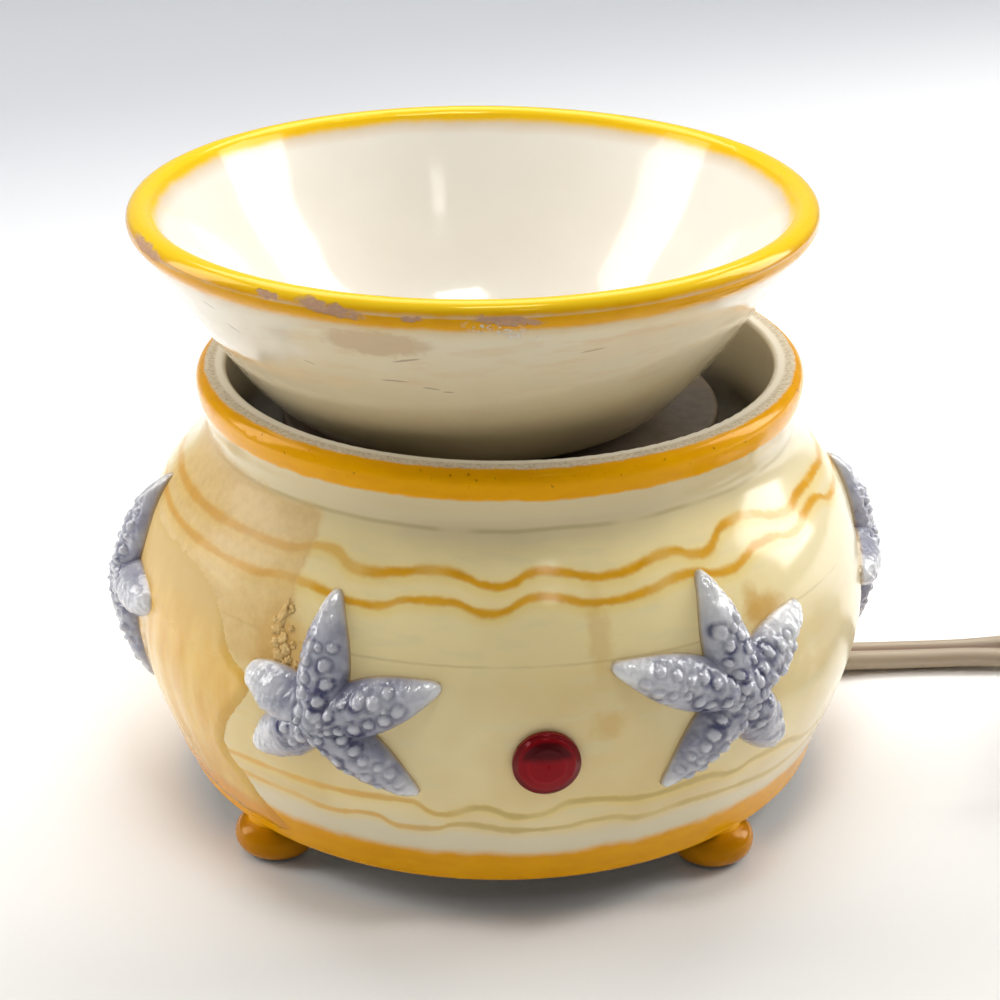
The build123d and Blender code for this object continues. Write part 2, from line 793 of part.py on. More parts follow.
with BuildPart() as cord_coil:
    with BuildSketch(Plane(origin=coil_start, x_dir=(0, 0, 1), z_dir=(1, 0, 0))):
        SlotOverall(cord_width, cord_thickness)
    extrude(amount=cord_width)
    here = Vector(coil_x, coil_north_y, coil_z)
    facing = 1
    for index, turn_r in enumerate(turn_radii):
        hub = here - Vector(0, turn_r * facing, 0)
        if index == half_turns_in:
            for number, arc in enumerate(climb_arcs):
                for step in range(climb_sections + number):
                    place = arc @ (step / climb_sections)
                    heading = (arc % (step / climb_sections)).normalized()
                    upright = Vector(0, 0, 1) - heading * heading.Z
                    with BuildSketch(Plane(origin=place, x_dir=upright.normalized(), z_dir=heading)):
                        SlotOverall(cord_width, cord_thickness)
            loft(ruled=True)
            hub = hub + Vector(0, 0, coil_layer_rise)
        else:
            with BuildSketch(Plane(origin=here, x_dir=(0, 0, 1), z_dir=(facing, 0, 0))):
                SlotOverall(cord_width, cord_thickness)
            revolve(axis=Axis(hub, (0, 0, -1)), revolution_arc=180)
        here = hub * 2 - here if index != half_turns_in else Vector(here.X, 2 * hub.Y - here.Y, hub.Z)
        facing = -facing
    with BuildSketch(Plane(origin=here, x_dir=(0, 0, 1), z_dir=(1, 0, 0))):
        SlotOverall(cord_width, cord_thickness)
    extrude(amount=cord_width)
cord_coil.part.label = "cord_coil"
export_step(cord_coil.part, "parts/cord_coil.step")

coil_checks = 1500
neighbour_checks = 60
coil_places = [coil_line @ (step / coil_checks) for step in range(coil_checks + 1)]
least_gap = min(
    max(
        hypot(one.X - other.X, one.Y - other.Y) - cord_thickness,
        abs(one.Z - other.Z) - cord_width,
    )
    for number, one in enumerate(coil_places)
    for other in coil_places[number + neighbour_checks:]
)
print("coil length", round(coil_line.length), "least gap", round(least_gap, 2), "volume share",
      round(cord_coil.part.volume / coil_line.length / cord_section, 3))

# Tail from the coil's end down to the plug
tail_route = [
    tuple(coil_end),
    (coil_end.X + tail_top_run, coil_end.Y, coil_end.Z),
    (coil_end.X + tail_top_run + tail_drop_run, coil_end.Y, plug_z),
    (coil_end.X + tail_top_run + tail_drop_run + tail_end_run, coil_end.Y, plug_z),
]
tail_radii = route_radii(tail_route)
with BuildLine() as tail_path:
    FilletPolyline(*tail_route, radius=tail_radii)
tail_line = tail_path.wires()[0]
plug_x = tail_route[-1][0]

# Free stretches, flat where the cord leaves and at the plug, on edge at the coil
stretches = [
    ("cord_lead", lead_line, lead_radii, lead_sections, twist_start_x, twist_end_x),
    ("cord_tail", tail_line, tail_radii, tail_sections, plug_x - cord_width, coil_end.X),
]
for name, line, radii, sections, flat_x, edge_x in stretches:
    with BuildPart() as tube:
        for index in range(sections):
            share = index / (sections - 1)
            place = line @ share
            heading = (line % share).normalized()
            level = Vector(0, 0, 1).cross(heading).normalized()
            turn = quarter_turn * eased((place.X - flat_x) / (edge_x - flat_x))
            width_way = level.rotate(Axis((0, 0, 0), heading), turn)
            with BuildSketch(Plane(origin=place, x_dir=width_way, z_dir=heading)):
                SlotOverall(cord_width, cord_thickness)
        loft(ruled=True)
    tube.part.label = name
    export_step(tube.part, "parts/" + name + ".step")
    print(name, "length", round(line.length), "radii", [round(radius) for radius in radii],
          "volume share", round(tube.part.volume / line.length / cord_section, 3))

# Tie round the west side of the coil, where every turn lies flat
tie_x = coil_x - coil_outer_r + coil_pitch / 2 + coil_pitch
tie_inner_width = 2 * coil_pitch + cord_thickness + 2 * tie_side_gap
tie_inner_height = coil_layer_rise + cord_width + 2 * tie_gap
tie_z = (coil_z + top_z) / 2
tie_y = coil_north_y - coil_outer_r
with BuildPart() as cord_tie:
    with BuildSketch(Plane.XZ.offset(-tie_y - tie_width / 2)):
        with Locations((tie_x, tie_z)):
            RectangleRounded(
                tie_inner_width + 2 * tie_thickness, tie_inner_height + 2 * tie_thickness,
                cord_thickness / 2 + tie_thickness,
            )
        with Locations((tie_x - tie_inner_width / 2 - tie_tab_length / 2, top_z)):
            Rectangle(tie_tab_length, 2 * tie_thickness)
        with Locations((tie_x, tie_z)):
            RectangleRounded(tie_inner_width, tie_inner_height, cord_thickness / 2, mode=Mode.SUBTRACT)
    extrude(amount=tie_width)
cord_tie.part.label = "cord_tie"
export_step(cord_tie.part, "parts/cord_tie.step")

# Plug, lying flat at the end of the tail
blade_face_x = plug_x + plug_length
with BuildPart() as plug_blades:
    with BuildSketch(Plane.XZ.offset(-coil_end.Y - blade_thickness / 2)):
        with Locations((blade_face_x + (blade_length - blade_root) / 2, plug_z)):
            RectangleRounded(blade_length + blade_root, blade_width, blade_thickness / 2)
        with Locations((blade_face_x + blade_length - blade_hole_from_tip, plug_z)):
            Circle(blade_hole_r, mode=Mode.SUBTRACT)
    extrude(amount=blade_thickness)
blade_pair = [plug_blades.part.moved(Location((0, blade_spacing / 2 * side, 0))) for side in (-1, 1)]
with BuildPart() as plug_blades:
    for blade in blade_pair:
        add(blade)
plug_blades.part.label = "plug_blades"
export_step(plug_blades.part, "parts/plug_blades.step")

with BuildPart() as plug_body:
    with BuildSketch(Plane.YZ.offset(plug_x)):
        with Locations((coil_end.Y, plug_z)):
            RectangleRounded(plug_nose_width, plug_nose_thickness, plug_round)
    with BuildSketch(Plane.YZ.offset(plug_x + plug_length * plug_nose_share)):
        with Locations((coil_end.Y, plug_z)):
            RectangleRounded(plug_width, plug_thickness, plug_round)
    loft()
    with BuildSketch(Plane.YZ.offset(plug_x + plug_length * plug_nose_share)):
        with Locations((coil_end.Y, plug_z)):
            RectangleRounded(plug_width, plug_thickness, plug_round)
    extrude(amount=plug_length * (1 - plug_nose_share))
    with BuildSketch(Plane.XY):
        for side in (-1, 1):
            for index in range(plug_groove_count):
                with Locations((blade_face_x - plug_groove_width * (2 * index + 2),
                                coil_end.Y + side * plug_width / 2)):
                    Rectangle(plug_groove_width, 2 * plug_groove_depth)
    extrude(amount=plug_z + plug_thickness, mode=Mode.SUBTRACT)
    add(plug_blades.part, mode=Mode.SUBTRACT)
plug_body.part.label = "plug_body"
export_step(plug_body.part, "parts/plug_body.step")

# Cord inside the bushing and up through the cover's slot
inner_route = [
    (bushing_tip_x - lead_r, cord_y, cord_z),
    (inner_cord_x, cord_y, cord_z),
    (inner_cord_x, cord_y, inner_cord_top),
]
with BuildPart() as cord_inner:
    with BuildLine() as inner_path:
        FilletPolyline(*inner_route, radius=route_radii(inner_route))
    with BuildSketch(Plane(origin=inner_route[0], x_dir=(0, 1, 0), z_dir=(-1, 0, 0))):
        SlotOverall(cord_width, cord_thickness)
    sweep(path=inner_path.wires()[0])
cord_inner.part.label = "cord_inner"
export_step(cord_inner.part, "parts/cord_inner.step")

# Leads between cord, splices, fuse, heater and pilot lamp
splice_top = splice_z + splice_length
lead_in = splice_bore_depth - splice_clearance
fuse_z = pan_bottom - fuse_r - fuse_gap
core_y = (cord_width - cord_thickness) / 2
lamp_back_y = lamp_front_y + lamp_length
lead_routes = {
    "supply_leads": [
        [
            (inner_cord_x, cord_y - core_y, inner_cord_top),
            (inner_cord_x, cord_y - core_y, inner_cord_top + lead_straight),
            (-splice_x, splice_y + lead_pair_gap, supply_bend_z),
            (-splice_x, splice_y + lead_pair_gap, splice_z + lead_in),
        ],
        [
            (inner_cord_x, cord_y + core_y, inner_cord_top),
            (inner_cord_x, cord_y + core_y, inner_cord_top + lead_straight),
            (splice_x, splice_y + lead_pair_gap, supply_bend_z),
            (splice_x, splice_y + lead_pair_gap, splice_z + lead_in),
        ],
    ],
    "fuse_lead": [
        [
            (-splice_x, splice_y, splice_top - lead_in),
            (-splice_x, splice_y, fuse_z),
            (-splice_x, fuse_y, fuse_z),
            (-fuse_length / 2, fuse_y, fuse_z),
        ],
    ],
    "heater_leads": [
        [
            (fuse_length / 2, fuse_y, fuse_z),
            (fuse_length / 2 + fuse_end_run, fuse_y, fuse_z),
            (fuse_length / 2 + fuse_end_run, fuse_y, winding_z),
        ],
        [
            (splice_x, splice_y, splice_top - lead_in),
            (splice_x, splice_y, winding_z),
        ],
    ],
    "pilot_leads": [
        [
            (lead_pair_gap, lamp_back_y, lens_z),
            (lead_pair_gap, lamp_back_y + pilot_lead_run, lens_z),
            (splice_x, pilot_lead_bend_y, pilot_lead_z),
            (splice_x, splice_y - lead_pair_gap, pilot_lead_z),
            (splice_x, splice_y - lead_pair_gap, splice_z + lead_in),
        ],
        [
            (-lead_pair_gap, lamp_back_y, lens_z),
            (-lead_pair_gap, lamp_back_y + pilot_lead_run, lens_z),
            (resistor_x, resistor_y - resistor_lead_run, resistor_z),
            (resistor_x, resistor_y, resistor_z),
        ],
        [
            (resistor_x, resistor_y + resistor_length, resistor_z),
            (resistor_x, splice_y - lead_pair_gap, resistor_z),
            (resistor_x, splice_y - lead_pair_gap, splice_z + lead_in),
        ],
    ],
}
for name, routes in lead_routes.items():
    with BuildPart() as leads:
        for route in routes:
            with BuildLine() as lead_way:
                if len(route) > 2:
                    FilletPolyline(*route, radius=route_radii(route))
                else:
                    Line(*route)
            way = lead_way.wires()[0]
            with BuildSketch(Plane(origin=route[0], z_dir=way % 0)):
                Circle(lead_r)
            sweep(path=way)
    leads.part.label = name
    export_step(leads.part, "parts/" + name + ".step")

with BuildPart() as splice_connectors:
    with BuildSketch(Plane.XY.offset(splice_z)):
        with Locations((-splice_x, splice_y), (splice_x, splice_y)):
            Circle(splice_r)
    extrude(amount=splice_length)
    fillet(splice_connectors.edges().group_by(Axis.Z)[0] + splice_connectors.edges().group_by(Axis.Z)[-1],
           splice_clearance)
    with BuildSketch(Plane.XY.offset(splice_z)):
        with Locations((-splice_x, splice_y), (splice_x, splice_y)):
            SlotOverall(2 * (lead_pair_gap + lead_r + splice_clearance), 2 * (lead_r + splice_clearance),
                        rotation=90)
    extrude(amount=splice_bore_depth, mode=Mode.SUBTRACT)
    with BuildSketch(Plane.XY.offset(splice_top)):
        with Locations((-splice_x, splice_y), (splice_x, splice_y)):
            Circle(lead_r + splice_clearance)
    extrude(amount=-splice_bore_depth, mode=Mode.SUBTRACT)
splice_connectors.part.label = "splice_connectors"
export_step(splice_connectors.part, "parts/splice_connectors.step")

with BuildPart() as pilot_resistor:
    with BuildSketch(Plane.XZ.offset(-resistor_y)):
        with Locations((resistor_x, resistor_z)):
            Circle(resistor_r)
    extrude(amount=-resistor_length)
    fillet(pilot_resistor.edges(), resistor_r / 4)
pilot_resistor.part.label = "pilot_resistor"
export_step(pilot_resistor.part, "parts/pilot_resistor.step")

# Thermal fuse and the strap that holds it under the pan
with BuildPart() as thermal_fuse:
    with BuildSketch(Plane.YZ.offset(-fuse_length / 2)):
        with Locations((fuse_y, fuse_z)):
            Circle(fuse_r)
    extrude(amount=fuse_length)
    fillet(thermal_fuse.edges(), fuse_r / 4)
thermal_fuse.part.label = "thermal_fuse"
export_step(thermal_fuse.part, "parts/thermal_fuse.step")

strap_inner_r = fuse_r + splice_clearance
with BuildPart() as fuse_clip:
    with BuildSketch(Plane.YZ.offset(-fuse_clip_width / 2)):
        with Locations((fuse_y, fuse_z)):
            Circle(strap_inner_r + fuse_clip_wall)
        with Locations((fuse_y, (fuse_z + pan_bottom) / 2)):
            Rectangle(2 * (strap_inner_r + fuse_clip_wall), pan_bottom - fuse_z)
        with Locations((fuse_y, pan_bottom - fuse_clip_wall / 2)):
            Rectangle(2 * (strap_inner_r + fuse_clip_wall + fuse_clip_ear), fuse_clip_wall)
        with Locations((fuse_y, fuse_z)):
            Circle(strap_inner_r, mode=Mode.SUBTRACT)
        with Locations((fuse_y, fuse_z + strap_inner_r + fuse_clip_wall)):
            Rectangle(2 * strap_inner_r, 2 * (strap_inner_r + fuse_clip_wall), mode=Mode.SUBTRACT)
    extrude(amount=fuse_clip_width)
fuse_clip.part.label = "fuse_clip"
export_step(fuse_clip.part, "parts/fuse_clip.step")
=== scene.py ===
import random
from math import cos, degrees, exp, hypot, pi, radians, sin

import bmesh
import bpy
from mathutils import Matrix, Vector, noise
from mathutils.bvhtree import BVHTree


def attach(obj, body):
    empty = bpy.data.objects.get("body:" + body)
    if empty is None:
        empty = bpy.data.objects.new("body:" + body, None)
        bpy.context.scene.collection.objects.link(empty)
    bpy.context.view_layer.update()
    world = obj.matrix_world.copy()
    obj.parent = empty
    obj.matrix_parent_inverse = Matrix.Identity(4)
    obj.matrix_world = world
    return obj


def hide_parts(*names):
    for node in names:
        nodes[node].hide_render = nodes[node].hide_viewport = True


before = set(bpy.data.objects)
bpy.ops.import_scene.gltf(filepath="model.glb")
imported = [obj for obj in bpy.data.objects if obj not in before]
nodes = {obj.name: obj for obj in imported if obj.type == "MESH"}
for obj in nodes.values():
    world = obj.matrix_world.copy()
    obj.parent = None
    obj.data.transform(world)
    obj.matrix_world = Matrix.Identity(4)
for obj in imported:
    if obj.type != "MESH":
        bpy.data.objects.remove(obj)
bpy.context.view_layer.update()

MM = 0.001


# Camera and light: places in metres, angles in degrees
CAMERA_PLACE = (-0.0413, -0.3684, 0.2162)
CAMERA_TILT = 65.70
CAMERA_TURN = -6.4
CAMERA_LENS = 82.31
SENSOR_WIDTH = 36.0
NEAREST_SEEN = 0.01
FARTHEST_SEEN = 50.0
# The surroundings are brighter toward the back, between two values of a direction's y
ROOM_COLOUR = (0.97, 0.98, 1.0, 1.0)
DIM_Y, DIM_STRENGTH = -0.9, 0.06
BRIGHT_Y, BRIGHT_STRENGTH = 0.1, 0.34
# Area lights: name, place, the place it looks at, its two sides, power and colour
LIGHTS = [
    ("light_top", (0.0, 0.5, 0.95), (0.0, 0.05, 0.03), (1.2, 0.6), 9.0, (1.0, 0.99, 0.97)),
    ("light_left", (-0.95, 0.27, 0.5), (0.0, 0.05, 0.05), (0.42, 0.8), 5.4, (1.0, 0.98, 0.95)),
    ("light_right", (0.95, 0.22, 0.55), (0.0, 0.05, 0.05), (0.42, 0.8), 7.0, (1.0, 0.99, 0.97)),
    ("light_window", (0.06, -0.22, 1.05), (0.0, 0.0, 0.05), (0.3, 0.16), 2.1, (0.99, 0.99, 1.0)),
    ("light_pane", (0.15, -0.6, 0.8), (0.0, 0.0, 0.06), (0.08, 0.14), 0.18, (1.0, 1.0, 1.0)),
]


def place_camera():
    """Camera at the photograph's viewing angle."""
    data = bpy.data.cameras.new("camera")
    data.sensor_width = SENSOR_WIDTH
    data.lens = CAMERA_LENS
    data.clip_start = NEAREST_SEEN
    data.clip_end = FARTHEST_SEEN
    camera = bpy.data.objects.new("camera", data)
    camera.location = CAMERA_PLACE
    camera.rotation_euler = (radians(CAMERA_TILT), 0.0, radians(CAMERA_TURN))
    bpy.context.scene.collection.objects.link(camera)
    bpy.context.scene.camera = camera


def area_light(name, place, target, size, power, colour):
    """Soft light that looks at a target."""
    data = bpy.data.lights.new(name, "AREA")
    data.shape = "RECTANGLE"
    data.size = size[0]
    data.size_y = size[1]
    data.energy = power
    data.color = colour
    light = bpy.data.objects.new(name, data)
    light.location = place
    light.rotation_euler = (Vector(target) - Vector(place)).to_track_quat("-Z", "Y").to_euler()
    bpy.context.scene.collection.objects.link(light)


def light_room():
    """Pale surroundings, a broad light overhead, one at each side and two small ones in front."""
    world = bpy.data.worlds.new("studio")
    world.use_nodes = True
    bpy.context.scene.world = world
    tree = world.node_tree
    background = tree.nodes["Background"]
    way = tree.nodes.new("ShaderNodeTexCoord")
    parts = tree.nodes.new("ShaderNodeSeparateXYZ")
    tree.links.new(way.outputs["Generated"], parts.inputs[0])
    ramp = tree.nodes.new("ShaderNodeMapRange")
    ramp.interpolation_type = "SMOOTHSTEP"
    ramp.inputs["From Min"].default_value = DIM_Y
    ramp.inputs["From Max"].default_value = BRIGHT_Y
    ramp.inputs["To Min"].default_value = DIM_STRENGTH
    ramp.inputs["To Max"].default_value = BRIGHT_STRENGTH
    tree.links.new(parts.outputs[1], ramp.inputs["Value"])
    tree.links.new(ramp.outputs["Result"], background.inputs["Strength"])
    background.inputs["Color"].default_value = ROOM_COLOUR
    for light in LIGHTS:
        area_light(*light)
    bpy.context.scene.view_settings.view_transform = "Standard"
    bpy.context.scene.view_settings.look = "None"


# Materials

def rgb(red, green, blue):
    """Display colour, 0 to 255, as the linear colour that a node takes."""
    linear = []
    for value in (red, green, blue):
        share = value / 255
        linear.append(share / 12.92 if share <= 0.04045 else ((share + 0.055) / 1.055) ** 2.4)
    return (*linear, 1.0)


class Surface:
    """One procedural material, with its coordinates in millimetres."""

    def __init__(self, name, gloss):
        self.material = bpy.data.materials.new(name)
        self.material.use_nodes = True
        self.tree = self.material.node_tree
        self.shader = self.tree.nodes["Principled BSDF"]
        self.shader.inputs["Roughness"].default_value = gloss
        scaled = self.new("ShaderNodeVectorMath", operation="SCALE")
        self.coordinates = self.new("ShaderNodeTexCoord")
        self.put(scaled.inputs[0], self.coordinates.outputs["Object"])
        scaled.inputs["Scale"].default_value = 1 / MM
        self.where = scaled.outputs[0]
        parts = self.new("ShaderNodeSeparateXYZ")
        self.put(parts.inputs[0], self.where)
        self.x, self.y, self.z = parts.outputs

    def new(self, kind, **settings):
        """Node of a kind, with its settings."""
        node = self.tree.nodes.new(kind)
        for key, value in settings.items():
            setattr(node, key, value)
        return node

    def put(self, socket, value):
        """Gives a socket a value, or a link where the value is another socket."""
        if isinstance(value, bpy.types.NodeSocket):
            self.tree.links.new(value, socket)
        else:
            socket.default_value = value

    def math(self, operation, *values):
        """Result of a math node on numbers or sockets."""
        node = self.new("ShaderNodeMath", operation=operation)
        for socket, value in zip(node.inputs, values):
            self.put(socket, value)
        return node.outputs[0]

    def add(self, *values):
        total = values[0]
        for value in values[1:]:
            total = self.math("ADD", total, value)
        return total

    def times(self, *values):
        total = values[0]
        for value in values[1:]:
            total = self.math("MULTIPLY", total, value)
        return total

    def stretched(self, x, y, z):
        """Coordinates scaled by a factor along each axis."""
        node = self.new("ShaderNodeVectorMath", operation="MULTIPLY")
        self.put(node.inputs[0], self.where)
        node.inputs[1].default_value = (x, y, z)
        return node.outputs[0]

    def noise(self, scale, detail=2.0, rough=0.5, where=None):
        """Noise from 0 to 1 with about scale features per millimetre."""
        node = self.new("ShaderNodeTexNoise")
        self.put(node.inputs["Vector"], self.where if where is None else where)
        node.inputs["Scale"].default_value = scale
        node.inputs["Detail"].default_value = detail
        node.inputs["Roughness"].default_value = rough
        return node.outputs["Fac"]

    def wobble(self, scale, size):
        """Noise about zero, reaching about plus or minus size."""
        return self.times(self.add(self.noise(scale), -0.5), 2 * size)

    def step(self, value, low, high):
        """0 below low, 1 above high, smooth in between; falling where low is the larger."""
        node = self.new("ShaderNodeMapRange", interpolation_type="SMOOTHSTEP")
        self.put(node.inputs["Value"], value)
        rising = not (isinstance(low, float) and isinstance(high, float) and low > high)
        self.put(node.inputs["From Min"], low if rising else high)
        self.put(node.inputs["From Max"], high if rising else low)
        node.inputs["To Min"].default_value = 0.0 if rising else 1.0
        node.inputs["To Max"].default_value = 1.0 if rising else 0.0
        return node.outputs["Result"]

    def mix(self, share, first, second):
        """The first colour where share is 0, the second where it is 1."""
        node = self.new("ShaderNodeMix", data_type="RGBA", clamp_factor=True)
        self.put(node.inputs[0], share)
        self.put(node.inputs[6], first)
        self.put(node.inputs[7], second)
        return node.outputs[2]

    def curve(self, value, points, low, high):
        """Value from 0 to 1 mapped through points to a number between low and high."""
        node = self.new("ShaderNodeFloatCurve")
        line = node.mapping.curves[0]
        line.points[0].location = (points[0][0], (points[0][1] - low) / (high - low))
        line.points[1].location = (points[-1][0], (points[-1][1] - low) / (high - low))
        for x, y in points[1:-1]:
            line.points.new(x, (y - low) / (high - low))
        node.mapping.update()
        self.put(node.inputs["Value"], value)
        return self.add(self.times(node.outputs[0], high - low), low)

    def blot(self, angle, place, height, wide, tall, tilt=0.0, soft=0.5, ragged=1.0):
        """Ragged patch on a round wall, by angle and height, 1 inside and 0 outside."""
        across = self.times(self.add(angle, -place, self.wobble(0.5, ragged)), 1 / wide)
        slant = self.times(self.add(angle, -place), -tilt)
        level = self.add(self.z, -height, slant, self.wobble(0.6, ragged / 2))
        up = self.times(level, 1 / tall)
        far = self.math("SQRT", self.add(self.times(across, across), self.times(up, up)))
        return self.step(far, 1.0 + soft / 2, 1.0 - soft / 2)

    def attribute(self, name):
        """A number that the mesh carries at its points."""
        return self.new("ShaderNodeAttribute", attribute_name=name).outputs["Fac"]

    def bump(self, height, distance, strength=1.0):
        """Fine relief, with height from 0 to 1 standing for distance in millimetres."""
        node = self.new("ShaderNodeBump")
        node.inputs["Strength"].default_value = strength
        node.inputs["Distance"].default_value = distance * MM
        self.put(node.inputs["Height"], height)
        if self.shader.inputs["Normal"].is_linked:
            self.put(node.inputs["Normal"], self.shader.inputs["Normal"].links[0].from_socket)
        self.put(self.shader.inputs["Normal"], node.outputs[0])

    def set(self, **values):
        """Gives the shader its colour and other inputs, with _ for a space in a name."""
        for key, value in values.items():
            self.put(self.shader.inputs[key.replace("_", " ")], value)


def paint(surface, *names):
    """Gives CAD nodes a material."""
    for name in names:
        slots = nodes[name].data.materials
        if len(slots):
            for index in range(len(slots)):
                slots[index] = surface.material
        else:
            slots.append(surface.material)


# Painted wavy lines: angle from the front in degrees, height in millimetres
UPPER_LINE = [
    (-90, 59.6), (-70.4, 59.8), (-51.9, 60.2), (-43.7, 60.4), (-36.3, 61.7), (-29.6, 59.9), (-22.8, 60.4),
    (-16.2, 61.0), (-6.4, 59.4), (0.1, 61.1), (11.5, 59.8), (23.1, 61.2), (28.4, 60.0), (32.8, 61.3),
    (38.4, 62.5), (42.2, 62.1), (48.6, 60.4), (51.5, 60.0), (58.7, 60.6), (68.5, 60.3), (81.7, 59.3),
    (90, 59.6),
]
SECOND_LINE = [
    (-90, 56.4), (-72.3, 56.0), (-58.7, 56.1), (-48.3, 56.2), (-41.3, 57.0), (-26.5, 55.9), (-20.3, 57.3),
    (-14.1, 57.4), (-7.9, 56.1), (-0.2, 58.1), (9.0, 56.8), (17.5, 57.3), (24.5, 58.2), (32.1, 57.0),
    (36.6, 57.7), (41.4, 58.5), (45.8, 58.2), (50.2, 57.4), (55.4, 58.2), (60.9, 58.6), (65.0, 57.7),
    (69.2, 56.5), (90, 56.4),
]
THIRD_LINE = [
    (-90, 23.4), (-60, 22.6), (-45, 24.0), (-29.8, 24.0), (-23.9, 24.3), (-19.4, 24.4), (-15.3, 22.0),
    (-9.0, 24.0), (-3.5, 22.0), (1.0, 22.9), (5.2, 24.7), (16.1, 23.3), (24.9, 24.1), (31.5, 22.7),
    (35.1, 23.6), (42.5, 23.2), (54.6, 20.2), (72, 22.8), (90, 23.4),
]
LOWEST_LINE = [
    (-90, 18.6), (-60, 19.4), (-40.1, 19.9), (-32.9, 18.9), (-25.7, 20.0), (-21.6, 18.2), (-16.2, 18.5),
    (-11.6, 20.0), (-3.4, 18.7), (2.7, 18.9), (9.9, 19.9), (15.5, 18.6), (22.4, 19.4), (28.7, 19.0),
    (36.6, 18.1), (46.1, 17.2), (65, 18.8), (90, 18.6),
]

# Each painted line's points, the two heights it stays between, its half width and its strength
PAINTED_LINES = [
    (UPPER_LINE, 54.0, 64.0, 0.52, 1.0),
    (SECOND_LINE, 52.0, 62.0, 0.48, 0.95),
    (THIRD_LINE, 18.0, 28.0, 0.56, 0.7),
    (LOWEST_LINE, 14.0, 24.0, 0.54, 0.65),
]
# Stains by the two starfish in front and near the lens: angle, height, half width in degrees,
# half height in millimetres and strength
POT_STAINS = [
    (37.0, 49.6, 3.6, 2.6, 0.75), (34.6, 52.0, 1.6, 2.4, 0.5), (8.2, 52.0, 1.6, 6.0, 0.3),
    (9.0, 38.5, 2.0, 2.2, 0.35), (-40.0, 46.0, 4.4, 7.5, 0.65),
]
LENS_Z = 33.3
MOULD_LINE_Z = 48.6
NECK_LINE_Z = 66.6
# Heights between which one colour of the pot fades into the next
BASE_BAND_EDGE = (14.2, 11.9)
LIP_BAND_EDGE = (71.6, 72.3)
FOOT_EDGE = (6.8, 5.8)
BARE_LIP_EDGE = (75.6, 76.3)
# The film of old wax ends between these angles and heights
FILM_RIGHT_EDGE = (-38.6, -40.2)
FILM_LEFT_EDGE = (-96.0, -84.0)
FILM_TOP_EDGE = (64.6, 62.6)
FILM_LOW_EDGE = (40.0, 44.0)


def painted_lines(s, colour, angle, fine_edge):
    """The colour with the wavy lines painted on it, each with a soft glow along its lower side."""
    turn = s.math("FRACT", s.add(s.times(angle, 1 / 180), 0.5))
    amber = s.mix(s.noise(0.3, 2.0), rgb(242, 180, 24), rgb(216, 152, 14))
    olive = s.mix(s.step(s.add(angle, s.wobble(0.1, 6.0)), -26.0, -8.0), amber, rgb(196, 168, 84))
    for points, low, high, width, strength in PAINTED_LINES:
        level = s.curve(turn, [((place + 90) / 180, height) for place, height in points], low, high)
        offset = s.add(s.z, fine_edge, s.times(level, -1.0))
        away = s.math("ABSOLUTE", offset)
        wide = s.times(s.add(s.noise(0.14, 1.0), 0.5), width)
        glow = s.step(s.math("ABSOLUTE", s.add(offset, 0.35)), 1.9, 0.5)
        colour = s.mix(s.times(glow, 0.45 * strength), colour, rgb(248, 214, 110))
        line = s.step(s.math("DIVIDE", away, wide), 1.8, 0.4)
        ink = s.times(line, s.add(s.times(s.step(s.noise(0.11, 1.0), 0.3, 0.5), 0.45), 0.55), strength)
        colour = s.mix(ink, colour, amber if low > LENS_Z else olive)
    return colour


def wax_film(s, angle):
    """1 on the thin film of old wax on the left shoulder, which ends at an upright edge."""
    film_edge = s.step(s.add(angle, s.wobble(0.4, 1.2)), *FILM_RIGHT_EDGE)
    film_high = s.step(s.add(s.z, s.times(angle, 0.06), s.wobble(0.25, 1.6)), *FILM_TOP_EDGE)
    film_low = s.step(s.add(s.z, s.wobble(0.2, 1.5)), *FILM_LOW_EDGE)
    return s.times(film_edge, film_high, film_low, s.step(angle, *FILM_LEFT_EDGE))


